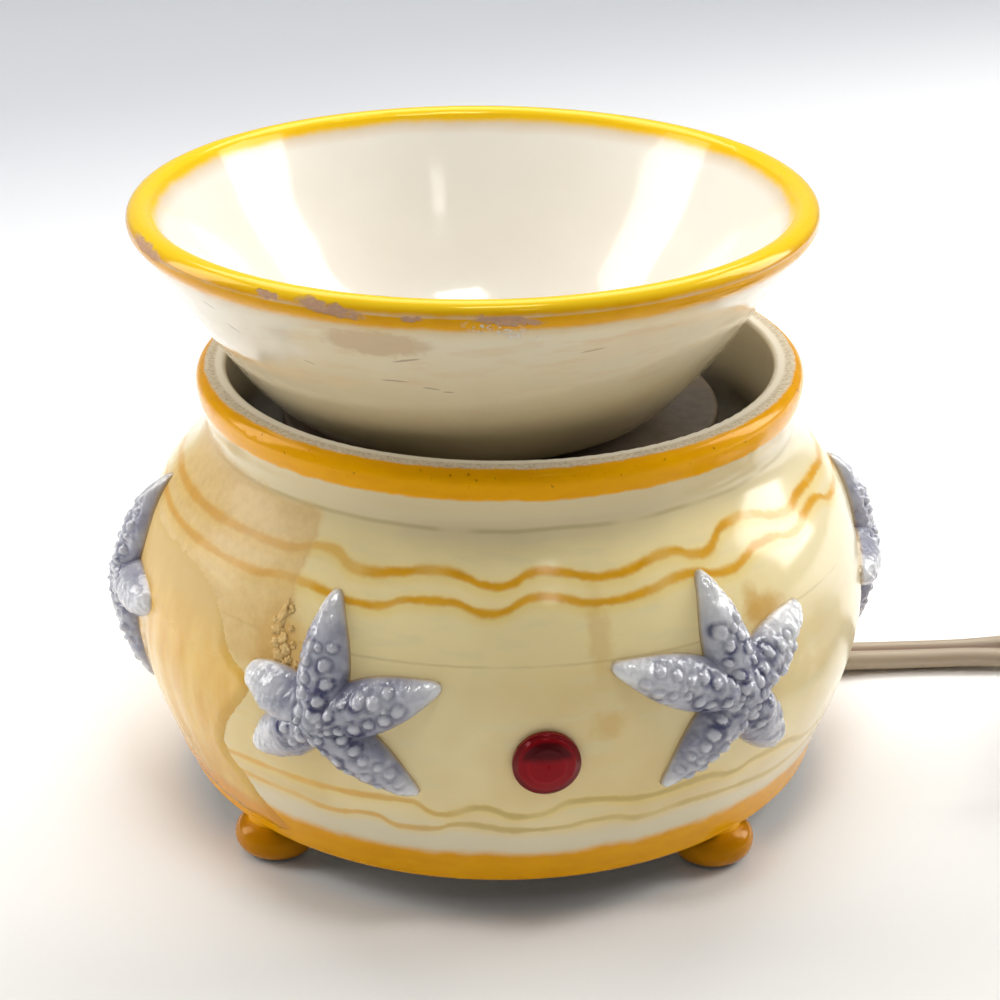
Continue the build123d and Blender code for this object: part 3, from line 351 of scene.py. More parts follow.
def pot_glaze():
    """Cream glaze with ochre bands, painted wavy lines, a bare lip and dried wax stains."""
    s = Surface("pot_glaze", gloss=0.13)
    radius = s.math("SQRT", s.add(s.times(s.x, s.x), s.times(s.y, s.y)))
    angle = s.times(s.math("ARCTAN2", s.x, s.times(s.y, -1.0)), 180 / pi)
    soft = s.noise(0.035, 3.0)
    streak = s.noise(0.12, 3.0, where=s.stretched(1.0, 1.0, 4.0))
    cream = s.mix(s.step(soft, 0.35, 0.65), rgb(250, 231, 176), rgb(236, 211, 148))
    # Painted light: the belly from about 45 to 52 mm upward is painted a lighter cream
    painted_light_upper_belly = s.step(s.add(s.z, s.wobble(0.05, 4.0)), 43.0, 52.0)
    cream = s.mix(s.times(painted_light_upper_belly, 0.7), cream, rgb(255, 236, 176))
    cream = s.mix(s.times(s.step(streak, 0.5, 0.75), 0.5), cream, rgb(238, 224, 176))
    # Painted sheen: the pot's right side, from about 30 degrees round, is painted paler
    painted_sheen_side = s.step(s.add(angle, s.wobble(0.05, 12.0)), 30.0, 62.0)
    cream = s.mix(s.times(painted_sheen_side, 0.5), cream, rgb(246, 236, 204))
    pale = s.math("MAXIMUM", s.step(s.add(s.z, s.wobble(0.06, 2.0)), 62.0, 68.0),
                  s.step(s.add(s.z, s.wobble(0.06, 2.0)), 22.0, 15.5))
    pale_colour = s.mix(s.step(s.z, 40.0, 41.0), rgb(238, 229, 202), rgb(220, 203, 162))
    cream = s.mix(s.times(pale, 0.8), cream, pale_colour)
    edge = s.wobble(0.16, 0.9)
    fine_edge = s.wobble(0.7, 0.22)
    colour = painted_lines(s, cream, angle, fine_edge)
    # Fine shade line round the middle, where the mould's halves met
    middle = s.step(s.math("ABSOLUTE", s.add(s.z, -MOULD_LINE_Z, s.times(fine_edge, 0.5))), 0.35, 0.05)
    colour = s.mix(s.times(middle, 0.3, s.step(s.noise(0.08, 1.0), 0.4, 0.55)), colour, rgb(196, 170, 110))
    # A second one under the neck, where the glaze is thin
    shade = s.step(s.math("ABSOLUTE", s.add(s.z, -NECK_LINE_Z, s.wobble(0.06, 0.5))), 0.6, 0.05)
    colour = s.mix(s.times(shade, 0.4, s.step(s.noise(0.08, 1.0), 0.35, 0.5)), colour, rgb(170, 152, 96))
    for place, height, wide, tall, strength in POT_STAINS:
        stain = s.blot(angle, place, height, wide, tall, soft=1.3, ragged=1.6)
        colour = s.mix(s.times(stain, strength), colour, rgb(214, 158, 52))
    film = wax_film(s, angle)
    dirt = s.noise(0.5, 4.0, 0.7)
    film_colour = s.mix(dirt, rgb(224, 178, 94), rgb(198, 150, 78))
    colour = s.mix(s.times(film, s.add(0.35, s.times(dirt, 0.4))), colour, film_colour)
    ochre = s.mix(s.noise(0.2, 3.0, where=s.stretched(1.0, 1.0, 3.0)), rgb(252, 184, 0), rgb(236, 160, 0))
    base_band = s.step(s.add(s.z, edge, fine_edge), *BASE_BAND_EDGE)
    lip_band = s.step(s.add(s.z, s.times(edge, 0.6), fine_edge), *LIP_BAND_EDGE)
    colour = s.mix(base_band, colour, ochre)
    colour = s.mix(lip_band, colour, ochre)
    band = s.math("MAXIMUM", base_band, lip_band)
    foot = s.step(s.add(s.z, fine_edge), *FOOT_EDGE)
    colour = s.mix(s.times(foot, 0.75), colour, rgb(176, 108, 0))
    normal = s.new("ShaderNodeSeparateXYZ")
    s.put(normal.inputs[0], s.coordinates.outputs["Normal"])
    # Painted shade: the downward-facing underside near the base is painted dark brown; it is also matt, as
    # bare clay
    under = s.times(s.step(normal.outputs[2], -0.6, -0.85), s.step(s.z, 8.5, 7.0))
    colour = s.mix(under, colour, s.mix(s.noise(0.6, 3.0), rgb(112, 98, 78), rgb(84, 72, 56)))
    grit = s.noise(1.6, 3.0, 0.7)
    bare_colour = s.mix(s.step(grit, 0.3, 0.62), rgb(198, 184, 158), rgb(232, 222, 200))
    top_edge = s.step(s.add(radius, s.times(edge, 0.35), fine_edge), 51.0, 50.4)
    on_top = s.times(s.step(s.z, *BARE_LIP_EDGE), top_edge)
    facing = s.add(s.times(normal.outputs[0], s.x), s.times(normal.outputs[1], s.y))
    inside = s.math("MAXIMUM", s.step(radius, 49.4, 48.6), s.step(facing, 0.0, -6.0))
    fleck = s.times(s.step(s.noise(1.1, 2.0), 0.68, 0.74), s.step(s.z, 73.5, 75.0))
    colour = s.mix(s.times(fleck, 0.6), colour, rgb(120, 76, 20))
    bare = s.math("MAXIMUM", on_top, inside)
    colour = s.mix(bare, colour, s.mix(inside, bare_colour, rgb(252, 246, 230)))
    matt = s.math("MAXIMUM", s.math("MAXIMUM", bare, under), s.times(film, 0.6))
    s.set(Base_Color=colour, Roughness=s.add(0.15, s.times(matt, 0.45), s.times(s.noise(0.3, 3.0), 0.06)))
    coat = s.times(s.add(1.0, s.times(matt, -1.0)), s.add(0.35, s.times(band, -0.27)))
    s.put(s.shader.inputs["Coat Weight"], coat)
    s.put(s.shader.inputs["Specular Tint"], s.mix(band, rgb(255, 252, 244), rgb(250, 186, 60)))
    s.shader.inputs["Coat Roughness"].default_value = 0.1
    s.shader.inputs["Specular IOR Level"].default_value = 0.35
    s.bump(s.add(s.times(s.noise(0.12, 2.0), 0.7), s.times(matt, s.times(grit, 0.2))), 0.3, 0.6)
    return s


# Worn chips and fine scratches of the dish: angle, height, half width in degrees, half height
# in millimetres and slant
DISH_CHIPS = [
    (-27.0, 104.5, 5.4, 0.8, -0.12), (-1.0, 103.9, 4.8, 0.75, -0.08), (-14.8, 104.0, 1.4, 0.4, 0.0),
    (-69.0, 104.9, 6.0, 0.8, -0.05), (-38.0, 105.0, 2.0, 0.5, -0.1),
]
DISH_SCRATCHES = [
    (-20.0, 90.8, 2.4, 0.16, 0.0), (-13.4, 89.6, 1.5, 0.15, -0.15), (-10.4, 89.0, 0.9, 0.14, 0.0),
    (-53.9, 99.1, 1.1, 0.3, -0.4), (-51.7, 95.3, 1.4, 0.3, -0.45), (-17.0, 95.4, 2.4, 0.2, 0.2),
    (14.0, 96.4, 2.0, 0.12, 0.1), (-36.0, 92.2, 1.0, 0.13, -0.2),
]
# A worn patch and a scuff under the rim, in the same order
DISH_PATCH = (-21.5, 98.6, 8.5, 2.6)
DISH_SCUFF = (-1.2, 101.9, 5.6, 1.2, -0.2)
DISH_AXIS = (-4.6, -1.5)
# Heights and angles between which one colour of the dish fades into the next
OUTSIDE_FADE = (100.0, 80.0)
PAINTED_SHADE_LEFT_FADE = (-25.0, -60.0)
THIN_OCHRE_FADE = (99.8, 102.6)
RIM_BAND_EDGE = (101.5, 102.8)


def dish_glaze():
    """White inside, pale cream outside, an ochre rim with worn chips and scuffs."""
    s = Surface("dish_glaze", gloss=0.1)
    across = s.add(s.x, -DISH_AXIS[0])
    deep = s.add(s.y, -DISH_AXIS[1])
    angle = s.times(s.math("ARCTAN2", across, s.times(deep, -1.0)), 180 / pi)
    normal = s.new("ShaderNodeSeparateXYZ")
    s.put(normal.inputs[0], s.coordinates.outputs["Normal"])
    inner = s.step(normal.outputs[2], -0.05, 0.15)
    lower = s.step(s.add(s.z, s.wobble(0.06, 3.0)), *OUTSIDE_FADE)
    outside = s.mix(lower, rgb(232, 222, 196), rgb(218, 200, 156))
    streak = s.noise(0.1, 3.0, where=s.stretched(1.0, 1.0, 5.0))
    outside = s.mix(s.times(s.step(streak, 0.5, 0.7), 0.35), outside, rgb(222, 190, 150))
    # Painted shade: the left side of the dish's outside is painted darker and greyer
    left = s.step(s.add(angle, s.wobble(0.05, 10.0)), *PAINTED_SHADE_LEFT_FADE)
    outside = s.mix(s.times(left, 0.6), outside, rgb(204, 192, 166))
    inside = s.mix(s.noise(0.05, 3.0), rgb(250, 245, 234), rgb(240, 233, 219))
    patch = s.blot(angle, *DISH_PATCH, soft=0.5, ragged=2.2)
    outside = s.mix(s.times(patch, 0.6), outside, rgb(196, 166, 132))
    colour = s.mix(inner, outside, inside)
    edge = s.wobble(0.12, 0.5)
    fine_edge = s.wobble(0.8, 0.15)
    fade = s.step(s.add(s.z, edge, s.times(inner, -2.0)), *THIN_OCHRE_FADE)
    colour = s.mix(s.times(fade, 0.45), colour, rgb(206, 160, 74))
    rim = s.step(s.add(s.z, edge, fine_edge, s.times(inner, -2.2)), *RIM_BAND_EDGE)
    ochre = s.mix(s.noise(0.2, 3.0), rgb(240, 176, 0), rgb(224, 154, 0))
    # Painted highlight: the rim's upward-facing top is painted a lighter, brighter yellow than its sides
    ochre = s.mix(s.step(normal.outputs[2], 0.2, 0.8), ochre, rgb(250, 206, 34))
    colour = s.mix(rim, colour, ochre)
    worn = s.noise(0.9, 3.0, 0.7)
    clay = s.mix(worn, rgb(216, 178, 148), rgb(180, 134, 106))
    chip = 0.0
    for place, height, wide, tall, tilt in DISH_CHIPS:
        spot = s.blot(angle, place, height, wide, tall, tilt, soft=0.5, ragged=1.5)
        chip = s.math("MAXIMUM", chip, spot)
    chip = s.times(chip, s.step(worn, 0.3, 0.42))
    colour = s.mix(chip, colour, clay)
    scuff = s.blot(angle, *DISH_SCUFF, soft=0.8, ragged=2.0)
    scuff = s.times(scuff, s.step(worn, 0.5, 0.6))
    colour = s.mix(scuff, colour, rgb(222, 214, 204))
    mark = 0.0
    for place, height, wide, tall, tilt in DISH_SCRATCHES:
        line = s.blot(angle, place, height, wide, tall, tilt, soft=0.6, ragged=0.3)
        mark = s.math("MAXIMUM", mark, line)
    colour = s.mix(s.times(mark, 0.5), colour, rgb(122, 100, 76))
    worn_off = s.math("MAXIMUM", chip, scuff)
    s.set(Base_Color=colour, Roughness=s.add(0.1, s.times(worn_off, 0.5), s.times(streak, 0.05)))
    coat = s.times(s.add(1.0, s.times(worn_off, -1.0)), s.add(0.4, s.times(rim, -0.25)))
    s.put(s.shader.inputs["Coat Weight"], coat)
    s.put(s.shader.inputs["Specular Tint"], s.mix(rim, rgb(255, 252, 246), rgb(252, 206, 90)))
    s.shader.inputs["Coat Roughness"].default_value = 0.05
    s.shader.inputs["Specular IOR Level"].default_value = 0.4
    s.bump(s.noise(0.1, 2.0), 0.3, 0.5)
    s.bump(s.add(s.times(worn_off, -0.6), s.times(worn_off, worn, 0.5)), 0.35, 0.9)
    return s


def plain(name, colour, other, gloss, scale=0.5, relief=0.05, metallic=0.0):
    """Two-tone material with a fine relief."""
    s = Surface(name, gloss=gloss)
    grain = s.noise(scale, 3.0, 0.6)
    s.set(Base_Color=s.mix(s.step(grain, 0.3, 0.7), rgb(*colour), rgb(*other)),
          Roughness=s.add(gloss, s.times(grain, 0.08)))
    s.shader.inputs["Metallic"].default_value = metallic
    s.bump(s.noise(scale * 3, 3.0, 0.7), relief, 0.6)
    return s


LENS_RING_R = 2.9


def red_lens():
    """Deep red moulded lens, darker at its edge, with painted shade just above its centre and a faint ring.
    """
    s = Surface("red_lens", gloss=0.1)
    above = s.add(s.z, -LENS_Z)
    radius = s.math("SQRT", s.add(s.times(s.x, s.x), s.times(above, above)))
    ring = s.step(s.math("ABSOLUTE", s.add(radius, -LENS_RING_R)), 0.5, 0.05)
    edge = s.step(radius, 4.4, 5.4)
    colour = s.mix(s.times(ring, 0.25), rgb(140, 4, 16), rgb(176, 20, 32))
    colour = s.mix(s.times(edge, 0.6), colour, rgb(96, 0, 6))
    # Painted shade: a band just above the lens's centre is painted near-black red
    colour = s.mix(s.times(s.step(s.z, 33.6, 35.2), s.step(radius, 4.6, 3.8)), colour, rgb(64, 0, 4))
    s.set(Base_Color=colour, Specular_Tint=rgb(255, 120, 130))
    s.shader.inputs["Specular IOR Level"].default_value = 0.35
    s.shader.inputs["Coat Weight"].default_value = 0.12
    s.shader.inputs["Coat Roughness"].default_value = 0.06
    s.bump(s.times(edge, -1.0), 0.8, 1.0)
    s.bump(ring, 0.1, 0.5)
    return s


def star_glaze():
    """Lavender glaze, dark where it pools and where shade is painted on the arms' lower sides, pale where it
    breaks on raised grains, crests and tips, and where a highlight is painted on the crests' upper sides.
    """
    s = Surface("star_glaze", gloss=0.12)
    cloud = s.noise(0.3, 3.0)
    body = s.mix(s.step(cloud, 0.35, 0.65), rgb(154, 155, 174), rgb(176, 177, 191))
    # Painted highlight: crests are pale along the arm's upper side, besides the real glaze break at tips and
    # on pale arms
    colour = s.mix(s.attribute("crest"), body, rgb(234, 235, 237))
    # Painted shade: darker on the arm's lower side, besides glaze pooled round the grains and by the hub
    hollow_and_shade = s.times(s.attribute("hollow_and_shade"), s.step(s.noise(0.4, 2.0), 0.2, 0.6))
    colour = s.mix(hollow_and_shade, colour, rgb(70, 72, 108))
    colour = s.mix(s.times(s.attribute("grain"), 0.8), colour, rgb(206, 207, 216))
    foot = s.attribute("foot")
    colour = s.mix(s.times(foot, 0.75), colour, rgb(190, 160, 98))
    s.set(Base_Color=colour)
    s.shader.inputs["Coat Weight"].default_value = 0.8
    s.shader.inputs["Coat Roughness"].default_value = 0.04
    s.bump(s.noise(0.8, 3.0), 0.34, 0.8)
    return s


# Heights between which the run of wax grows matt upward and ochre downward
RUN_MATT_EDGE = (38.0, 52.0)
RUN_OCHRE_EDGE = (15.5, 11.5)


def wax_surface():
    """Thick yellow run of glaze and wax, satin, with streaks downward."""
    s = Surface("wax_run", gloss=0.2)
    streak = s.noise(0.22, 3.0, where=s.stretched(1.0, 1.0, 0.25))
    colour = s.mix(s.step(streak, 0.3, 0.7), rgb(240, 198, 98), rgb(228, 174, 60))
    high = s.step(s.add(s.z, s.wobble(0.2, 2.5)), *RUN_MATT_EDGE)
    colour = s.mix(high, colour, rgb(224, 192, 126))
    back = s.step(s.add(s.attribute("back"), s.wobble(0.15, 0.25)), 0.2, 0.8)
    colour = s.mix(back, colour, rgb(238, 217, 158))
    colour = s.mix(s.times(s.attribute("rim"), 0.25), colour, rgb(214, 168, 74))
    low = s.step(s.add(s.z, s.wobble(0.2, 1.5)), *RUN_OCHRE_EDGE)
    colour = s.mix(low, colour, rgb(232, 158, 22))
    s.set(Base_Color=colour, Roughness=s.add(0.16, s.times(streak, 0.12), s.times(high, 0.4)))
    s.put(s.shader.inputs["Coat Weight"], s.times(s.add(1.0, s.times(high, -1.0)), 0.35))
    s.shader.inputs["Coat Roughness"].default_value = 0.12
    s.bump(s.noise(0.35, 3.0, where=s.stretched(1.0, 1.0, 0.5)), 0.25, 0.5)
    return s


# Mesh pieces

def piece(name, points, faces, surface, **attributes):
    """Smooth mesh object from points in millimetres, with numbers at its points."""
    mesh = bpy.data.meshes.new(name)
    mesh.from_pydata([Vector(point) * MM for point in points], [], faces)
    mesh.materials.append(surface.material)
    for key, values in attributes.items():
        mesh.attributes.new(key, "FLOAT", "POINT").data.foreach_set("value", values)
    mesh.validate()
    mesh.update()
    mesh.polygons.foreach_set("use_smooth", [True] * len(mesh.polygons))
    item = bpy.data.objects.new(name, mesh)
    bpy.context.scene.collection.objects.link(item)
    return item


pot_tree = BVHTree.FromObject(nodes["pot"], bpy.context.evaluated_depsgraph_get())


def on_pot(angle, height):
    """Point on the pot's outside, in millimetres, at an angle from the front in degrees,
    and the wall's direction outward there."""
    outward = Vector((sin(radians(angle)), -cos(radians(angle)), 0))
    start = (outward * 120 + Vector((0, 0, height))) * MM
    place, normal, index, away = pot_tree.ray_cast(start, -outward)
    return place / MM, normal


# Cord: route of the lead, the coil's turns and the tail, as part.py has them
LEAD_POINTS = [
    (36.0, 18.5, 3.9), (56.0, 18.5, 3.9), (80.0, 20.3, 1.95),
    (106.0, 17.5, 3.0), (121.0, 14.5, 4.35), (135.6, 14.5, 4.35),
]
TAIL_POINTS = [(150.4, 14.5, 12.45), (168.4, 14.5, 12.45), (194.4, 14.5, 6.5), (209.4, 14.5, 6.5)]
COIL_X = 143.0
COIL_NORTH_Y = 14.5
COIL_Z = 4.35
COIL_OUTER_R = 45.0
COIL_PITCH = 4.5
LAYER_RISE = 8.1
HALF_TURNS_IN = 6
HALF_TURNS_OUT = 5
POINTS_PER_HALF_TURN = 8
CORD_THICKNESS = 3.7
TWIST_START_X = 92.0
TWIST_END_X = 130.0
LEAD_TRAVEL = 98.0
TAIL_LEVEL_Z = 12.0
TAIL_FLAT_X = 202.0
LEAST_STEP = 0.05
CORE_ARC = 148
CORE_STEPS = 12
GROOVE_HALF_WIDTH = 1.2


def coil_points():
    """Control points of the coil's turns, wound in, up a layer and out again."""
    points = []
    here = Vector((COIL_X, COIL_NORTH_Y, COIL_Z))
    facing = 1
    radius = COIL_OUTER_R
    half = pi / POINTS_PER_HALF_TURN / 2
    for index in range(HALF_TURNS_IN + 1 + HALF_TURNS_OUT):
        hub = here - Vector((0, radius * facing, 0))
        rise = LAYER_RISE if index == HALF_TURNS_IN else 0.0
        for step in range(POINTS_PER_HALF_TURN):
            turn = half * (2 * step + 1)
            reach = radius / cos(half)
            points.append(hub + Vector((
                reach * sin(turn) * facing,
                reach * cos(turn) * facing,
                rise * (1 - cos(turn)) / 2,
            )))
        here = hub - Vector((0, radius * facing, 0)) + Vector((0, 0, rise))
        facing = -facing
        radius += -COIL_PITCH / 2 if index < HALF_TURNS_IN else COIL_PITCH / 2
    return points


def cord_line():
    """Points of the cord's centreline, read from its spline."""
    data = bpy.data.curves.new("cord_route", "CURVE")
    data.dimensions = "3D"
    data.resolution_u = 8
    spline = data.splines.new("NURBS")
    lead = [Vector(point) for point in LEAD_POINTS]
    route = lead + coil_points() + [Vector(point) for point in TAIL_POINTS]
    spline.points.add(len(route) - 1)
    for target, point in zip(spline.points, route):
        target.co = (*(point * MM), 1.0)
    spline.order_u = 3
    spline.use_endpoint_u = True
    curve = bpy.data.objects.new("cord_route", data)
    mesh = bpy.data.meshes.new_from_object(curve)
    points = [vertex.co / MM for vertex in mesh.vertices]
    bpy.data.meshes.remove(mesh)
    bpy.data.objects.remove(curve)
    kept = [points[0]]
    for point in points[1:]:
        if (point - kept[-1]).length > LEAST_STEP:
            kept.append(point)
    return kept


def eased(share):
    """Smooth rise from 0 to 1, held at both ends."""
    held = min(max(share, 0.0), 1.0)
    return held * held * (3 - 2 * held)


def cord_section():
    """Outline of the flat twin lead, across its width, with a groove on each side."""
    core = CORD_THICKNESS / 2
    outline = []
    for side in (1, -1):
        for step in range(CORE_STEPS + 1):
            turn = radians(-CORE_ARC + 2 * CORE_ARC * step / CORE_STEPS)
            point = (core + core * cos(turn), core * sin(turn))
            outline.append(point if side == 1 else (-point[0], -point[1]))
    return outline


def build_cord(surface):
    """The free mains lead as one tube, flat at both ends and on edge in its coil."""
    line = cord_line()
    outline = cord_section()
    count = len(line)
    travelled = [0.0]
    for before, after in zip(line, line[1:]):
        travelled.append(travelled[-1] + (after - before).length)
    tail_start = next(
        index for index in range(count - 1, 0, -1)
        if line[index].x < TAIL_POINTS[0][0] and line[index].z > TAIL_LEVEL_Z
    )
    points, faces, groove = [], [], []
    for index, place in enumerate(line):
        heading = (line[min(index + 1, count - 1)] - line[max(index - 1, 0)]).normalized()
        level = Vector((0, 0, 1)).cross(heading).normalized()
        if index < tail_start:
            share = eased((place.x - TWIST_START_X) / (TWIST_END_X - TWIST_START_X))
            share = share if travelled[index] < LEAD_TRAVEL else 1.0
        else:
            share = eased((TAIL_FLAT_X - place.x) / (TAIL_FLAT_X - TAIL_POINTS[0][0]))
        width_way = Matrix.Rotation(radians(90) * share, 3, heading) @ level
        thick_way = heading.cross(width_way)
        for across, up in outline:
            points.append(place + width_way * across + thick_way * up)
            groove.append(1.0 - min(abs(across) / GROOVE_HALF_WIDTH, 1.0))
    size = len(outline)
    for ring in range(count - 1):
        for step in range(size):
            after = (step + 1) % size
            near, far = ring * size, (ring + 1) * size
            faces.append((near + step, near + after, far + after, far + step))
    faces.append(tuple(range(size))[::-1])
    faces.append(tuple((count - 1) * size + step for step in range(size)))
    item = piece("mains_lead", points, faces, surface, groove=groove)
    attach(item, "base")
    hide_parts("cord_lead", "cord_coil", "cord_tail")
    return travelled[-1]


def cord_jacket():
    """Pale tan jacket with a shaded groove between its cores."""
    s = Surface("cord_jacket", gloss=0.38)
    groove = s.attribute("groove")
    tone = s.mix(s.noise(0.1, 3.0), rgb(180, 164, 142), rgb(168, 152, 130))
    s.set(Base_Color=s.mix(s.times(s.step(groove, 0.1, 0.7), 0.9), tone, rgb(112, 82, 56)))
    s.bump(s.noise(1.5, 2.0), 0.05, 0.4)
    return s


# Starfish: centre angle and height, then each arm's lean, reach in millimetres, fullness at its tip
# and the share of its length that carries grains
STARS = {
    "starfish_front_left": (-32.1, 37.95, [
        (90, 19.4, 4.5, 0.78), (21, 21.2, 3.6, 0.8), (-36, 19.8, 3.2, 0.9), (-146, 15.6, 7.0, 0.35),
        (164, 15.4, 9.0, 0.3),
    ]),
    "starfish_front_right": (29.2, 39.65, [
        (99, 19.0, 4.5, 0.75), (28, 19.5, 3.4, 0.75), (-54, 17.3, 6.0, 0.35), (-132, 19.6, 3.0, 0.9),
        (160, 23.6, 3.4, 0.8),
    ]),
    "starfish_right": (90.0, 37.95, [
        (104, 19.5, 4.0, 0.8), (33, 18.5, 3.6, 0.8), (-38, 20.5, 3.4, 0.8), (-112, 17.6, 4.5, 0.7),
        (176, 19.5, 5.5, 0.5),
    ]),
    "starfish_back_right": (148.5, 37.95, [
        (85, 20.5, 4.0, 0.8), (12, 17.6, 4.5, 0.7), (-58, 19.5, 3.4, 0.8), (-130, 19.5, 3.4, 0.8),
        (158, 18.5, 4.0, 0.8),
    ]),
    "starfish_back_left": (211.5, 39.65, [
        (96, 18.5, 4.0, 0.8), (24, 19.5, 3.4, 0.8), (-48, 17.6, 5.0, 0.6), (-120, 20.5, 3.2, 0.8),
        (167, 19.5, 3.6, 0.8),
    ]),
    "starfish_left": (270.0, 37.95, [
        (80, 20.5, 4.0, 0.8), (8, 19.5, 6.0, 0.4), (-66, 18.5, 3.6, 0.8), (-138, 19.5, 3.4, 0.8),
        (150, 19.5, 3.6, 0.8),
    ]),
}
# Arms whose glaze ran off and left them pale, with how pale they are
PALE_ARMS = {
    ("starfish_front_right", 99): 0.6, ("starfish_front_right", 28): 1.0, ("starfish_front_right", 160): 0.35,
    ("starfish_front_left", -146): 0.4, ("starfish_front_left", 164): 0.4,
}
ARM_ROWS = 84
ARM_COLUMNS = 34
BELLY_R = 64.5
ARM_HALF_WIDTH = 3.5
ARM_SWELL = 1.1
ARM_SWELL_END = 0.88
ARM_TAPER = 0.9
ARM_TAPER_START = 0.42
ARM_CREST = 5.2
ARM_CREST_FALL = 2.6
ARM_SINK = 0.6
ARM_ROW_SPREAD = 0.9
ARM_FLAT_POWER = 2.2
ARM_ROUND_POWER = 0.62
HUB_REACH = 4.5
# Waves on an arm: how many to a millimetre, their height and their seed
ARM_WAVES = [(0.35, 0.5, 0), (1.1, 0.22, 9)]
# Rows of raised grains along an arm: place across it, spacing and radius
GRAIN_ROWS = [(0.42, 2.2, 0.86), (-0.42, 2.3, 0.84), (0.0, 9.0, 0.55)]
FIRST_GRAIN = 1.6
GRAIN_RISE = 0.36
GRAIN_RING_DEPTH = 0.2
GRAIN_RING_AT = 1.3
GRAIN_RING_WIDTH = 0.5
GRAIN_RING_END = 2.4
# Where the glaze breaks pale, and where a highlight is painted on the crest's upper side: from this share
# of the crest's height, from this share of the arm's length toward its tip, and on a pale arm from this
# share of its length
CREST_SHOWS_FROM = 0.55
TIP_SHOWS_FROM = 0.72
PALE_FROM = 0.2
PALE_RAMP = 0.5
# The arm's foot ends between these heights above the belly
FOOT_RISE = 0.2
FOOT_RAMP = 0.7


def arm_half_width(share, fullness):
    """Half width of an arm at a share of its length, widest before the middle."""
    half = ARM_HALF_WIDTH + ARM_SWELL * sin(pi * min(share / ARM_SWELL_END, 1.0))
    half -= ARM_TAPER * max(share - ARM_TAPER_START, 0.0)
    return half * max(1 - share ** fullness, 0.0) ** 0.5 + 0.05


def arm_crest(share, fullness):
    """Height of an arm's crest above the belly."""
    return (ARM_CREST - ARM_CREST_FALL * share) * max(1 - share ** (fullness + 1.5), 0.0) ** 0.5


def arm_grains(chance, reach, covered):
    """Places along and across an arm, and radii, of its raised grains."""
    grains = []
    for row, spacing, size in GRAIN_ROWS:
        at = FIRST_GRAIN + chance.uniform(0.0, 1.2)
        far = reach * covered * chance.uniform(0.85, 1.0)
        while at < far:
            grains.append((at, row + chance.uniform(-0.14, 0.14), size * chance.uniform(0.7, 1.15)))
            at += spacing * chance.uniform(0.9, 1.18)
    return grains


def grain_marks(grains, along, across, half):
    """How far a grain lifts a place on an arm, and how far the place lies in the ring round one."""
    lift, ring = 0.0, 0.0
    for at, at_row, size in grains:
        away = hypot(along - at, across - at_row * half) / size
        if away < GRAIN_RING_END:
            lift = max(lift, max(1 - away * away, 0.0) ** 0.6)
            ring = max(ring, exp(-((away - GRAIN_RING_AT) / GRAIN_RING_WIDTH) ** 2))
    return lift, ring * (1 - lift)


def glaze_marks(share, upper, near_crest, near_hub, rise, lift, ring, patch, pale):
    """How far a place on an arm is pale, where the glaze breaks and a highlight is painted on its upper side,
    dark, where the glaze pools and shade is painted on its lower side, on a grain, and at the arm's foot.
    """
    # Painted highlight on the crest's upper side, added to the glaze breaking at the tip and on pale arms
    pale_break_and_highlight = max(0.0, near_crest - CREST_SHOWS_FROM) * 1.2 * upper
    pale_break_and_highlight += 0.75 * max(share - TIP_SHOWS_FROM, 0.0) / (1 - TIP_SHOWS_FROM)
    pale_break_and_highlight += pale * eased((share - PALE_FROM) / PALE_RAMP)
    # Painted shade on the arm's lower side, added to glaze pooling round the grains and by the hub
    pooled_glaze_and_shade = (0.25 + 0.65 * near_hub + 0.45 * (1 - upper)) * (0.5 + patch)
    pooled_glaze_and_shade = ring * pooled_glaze_and_shade + 0.75 * near_hub * (1 - lift) * patch
    return {
        "crest": min(1.0, pale_break_and_highlight),
        "hollow_and_shade": min(1.0, max(0.0, pooled_glaze_and_shade)),
        "grain": lift,
        "foot": 1 - eased((rise - FOOT_RISE) / FOOT_RAMP),
    }


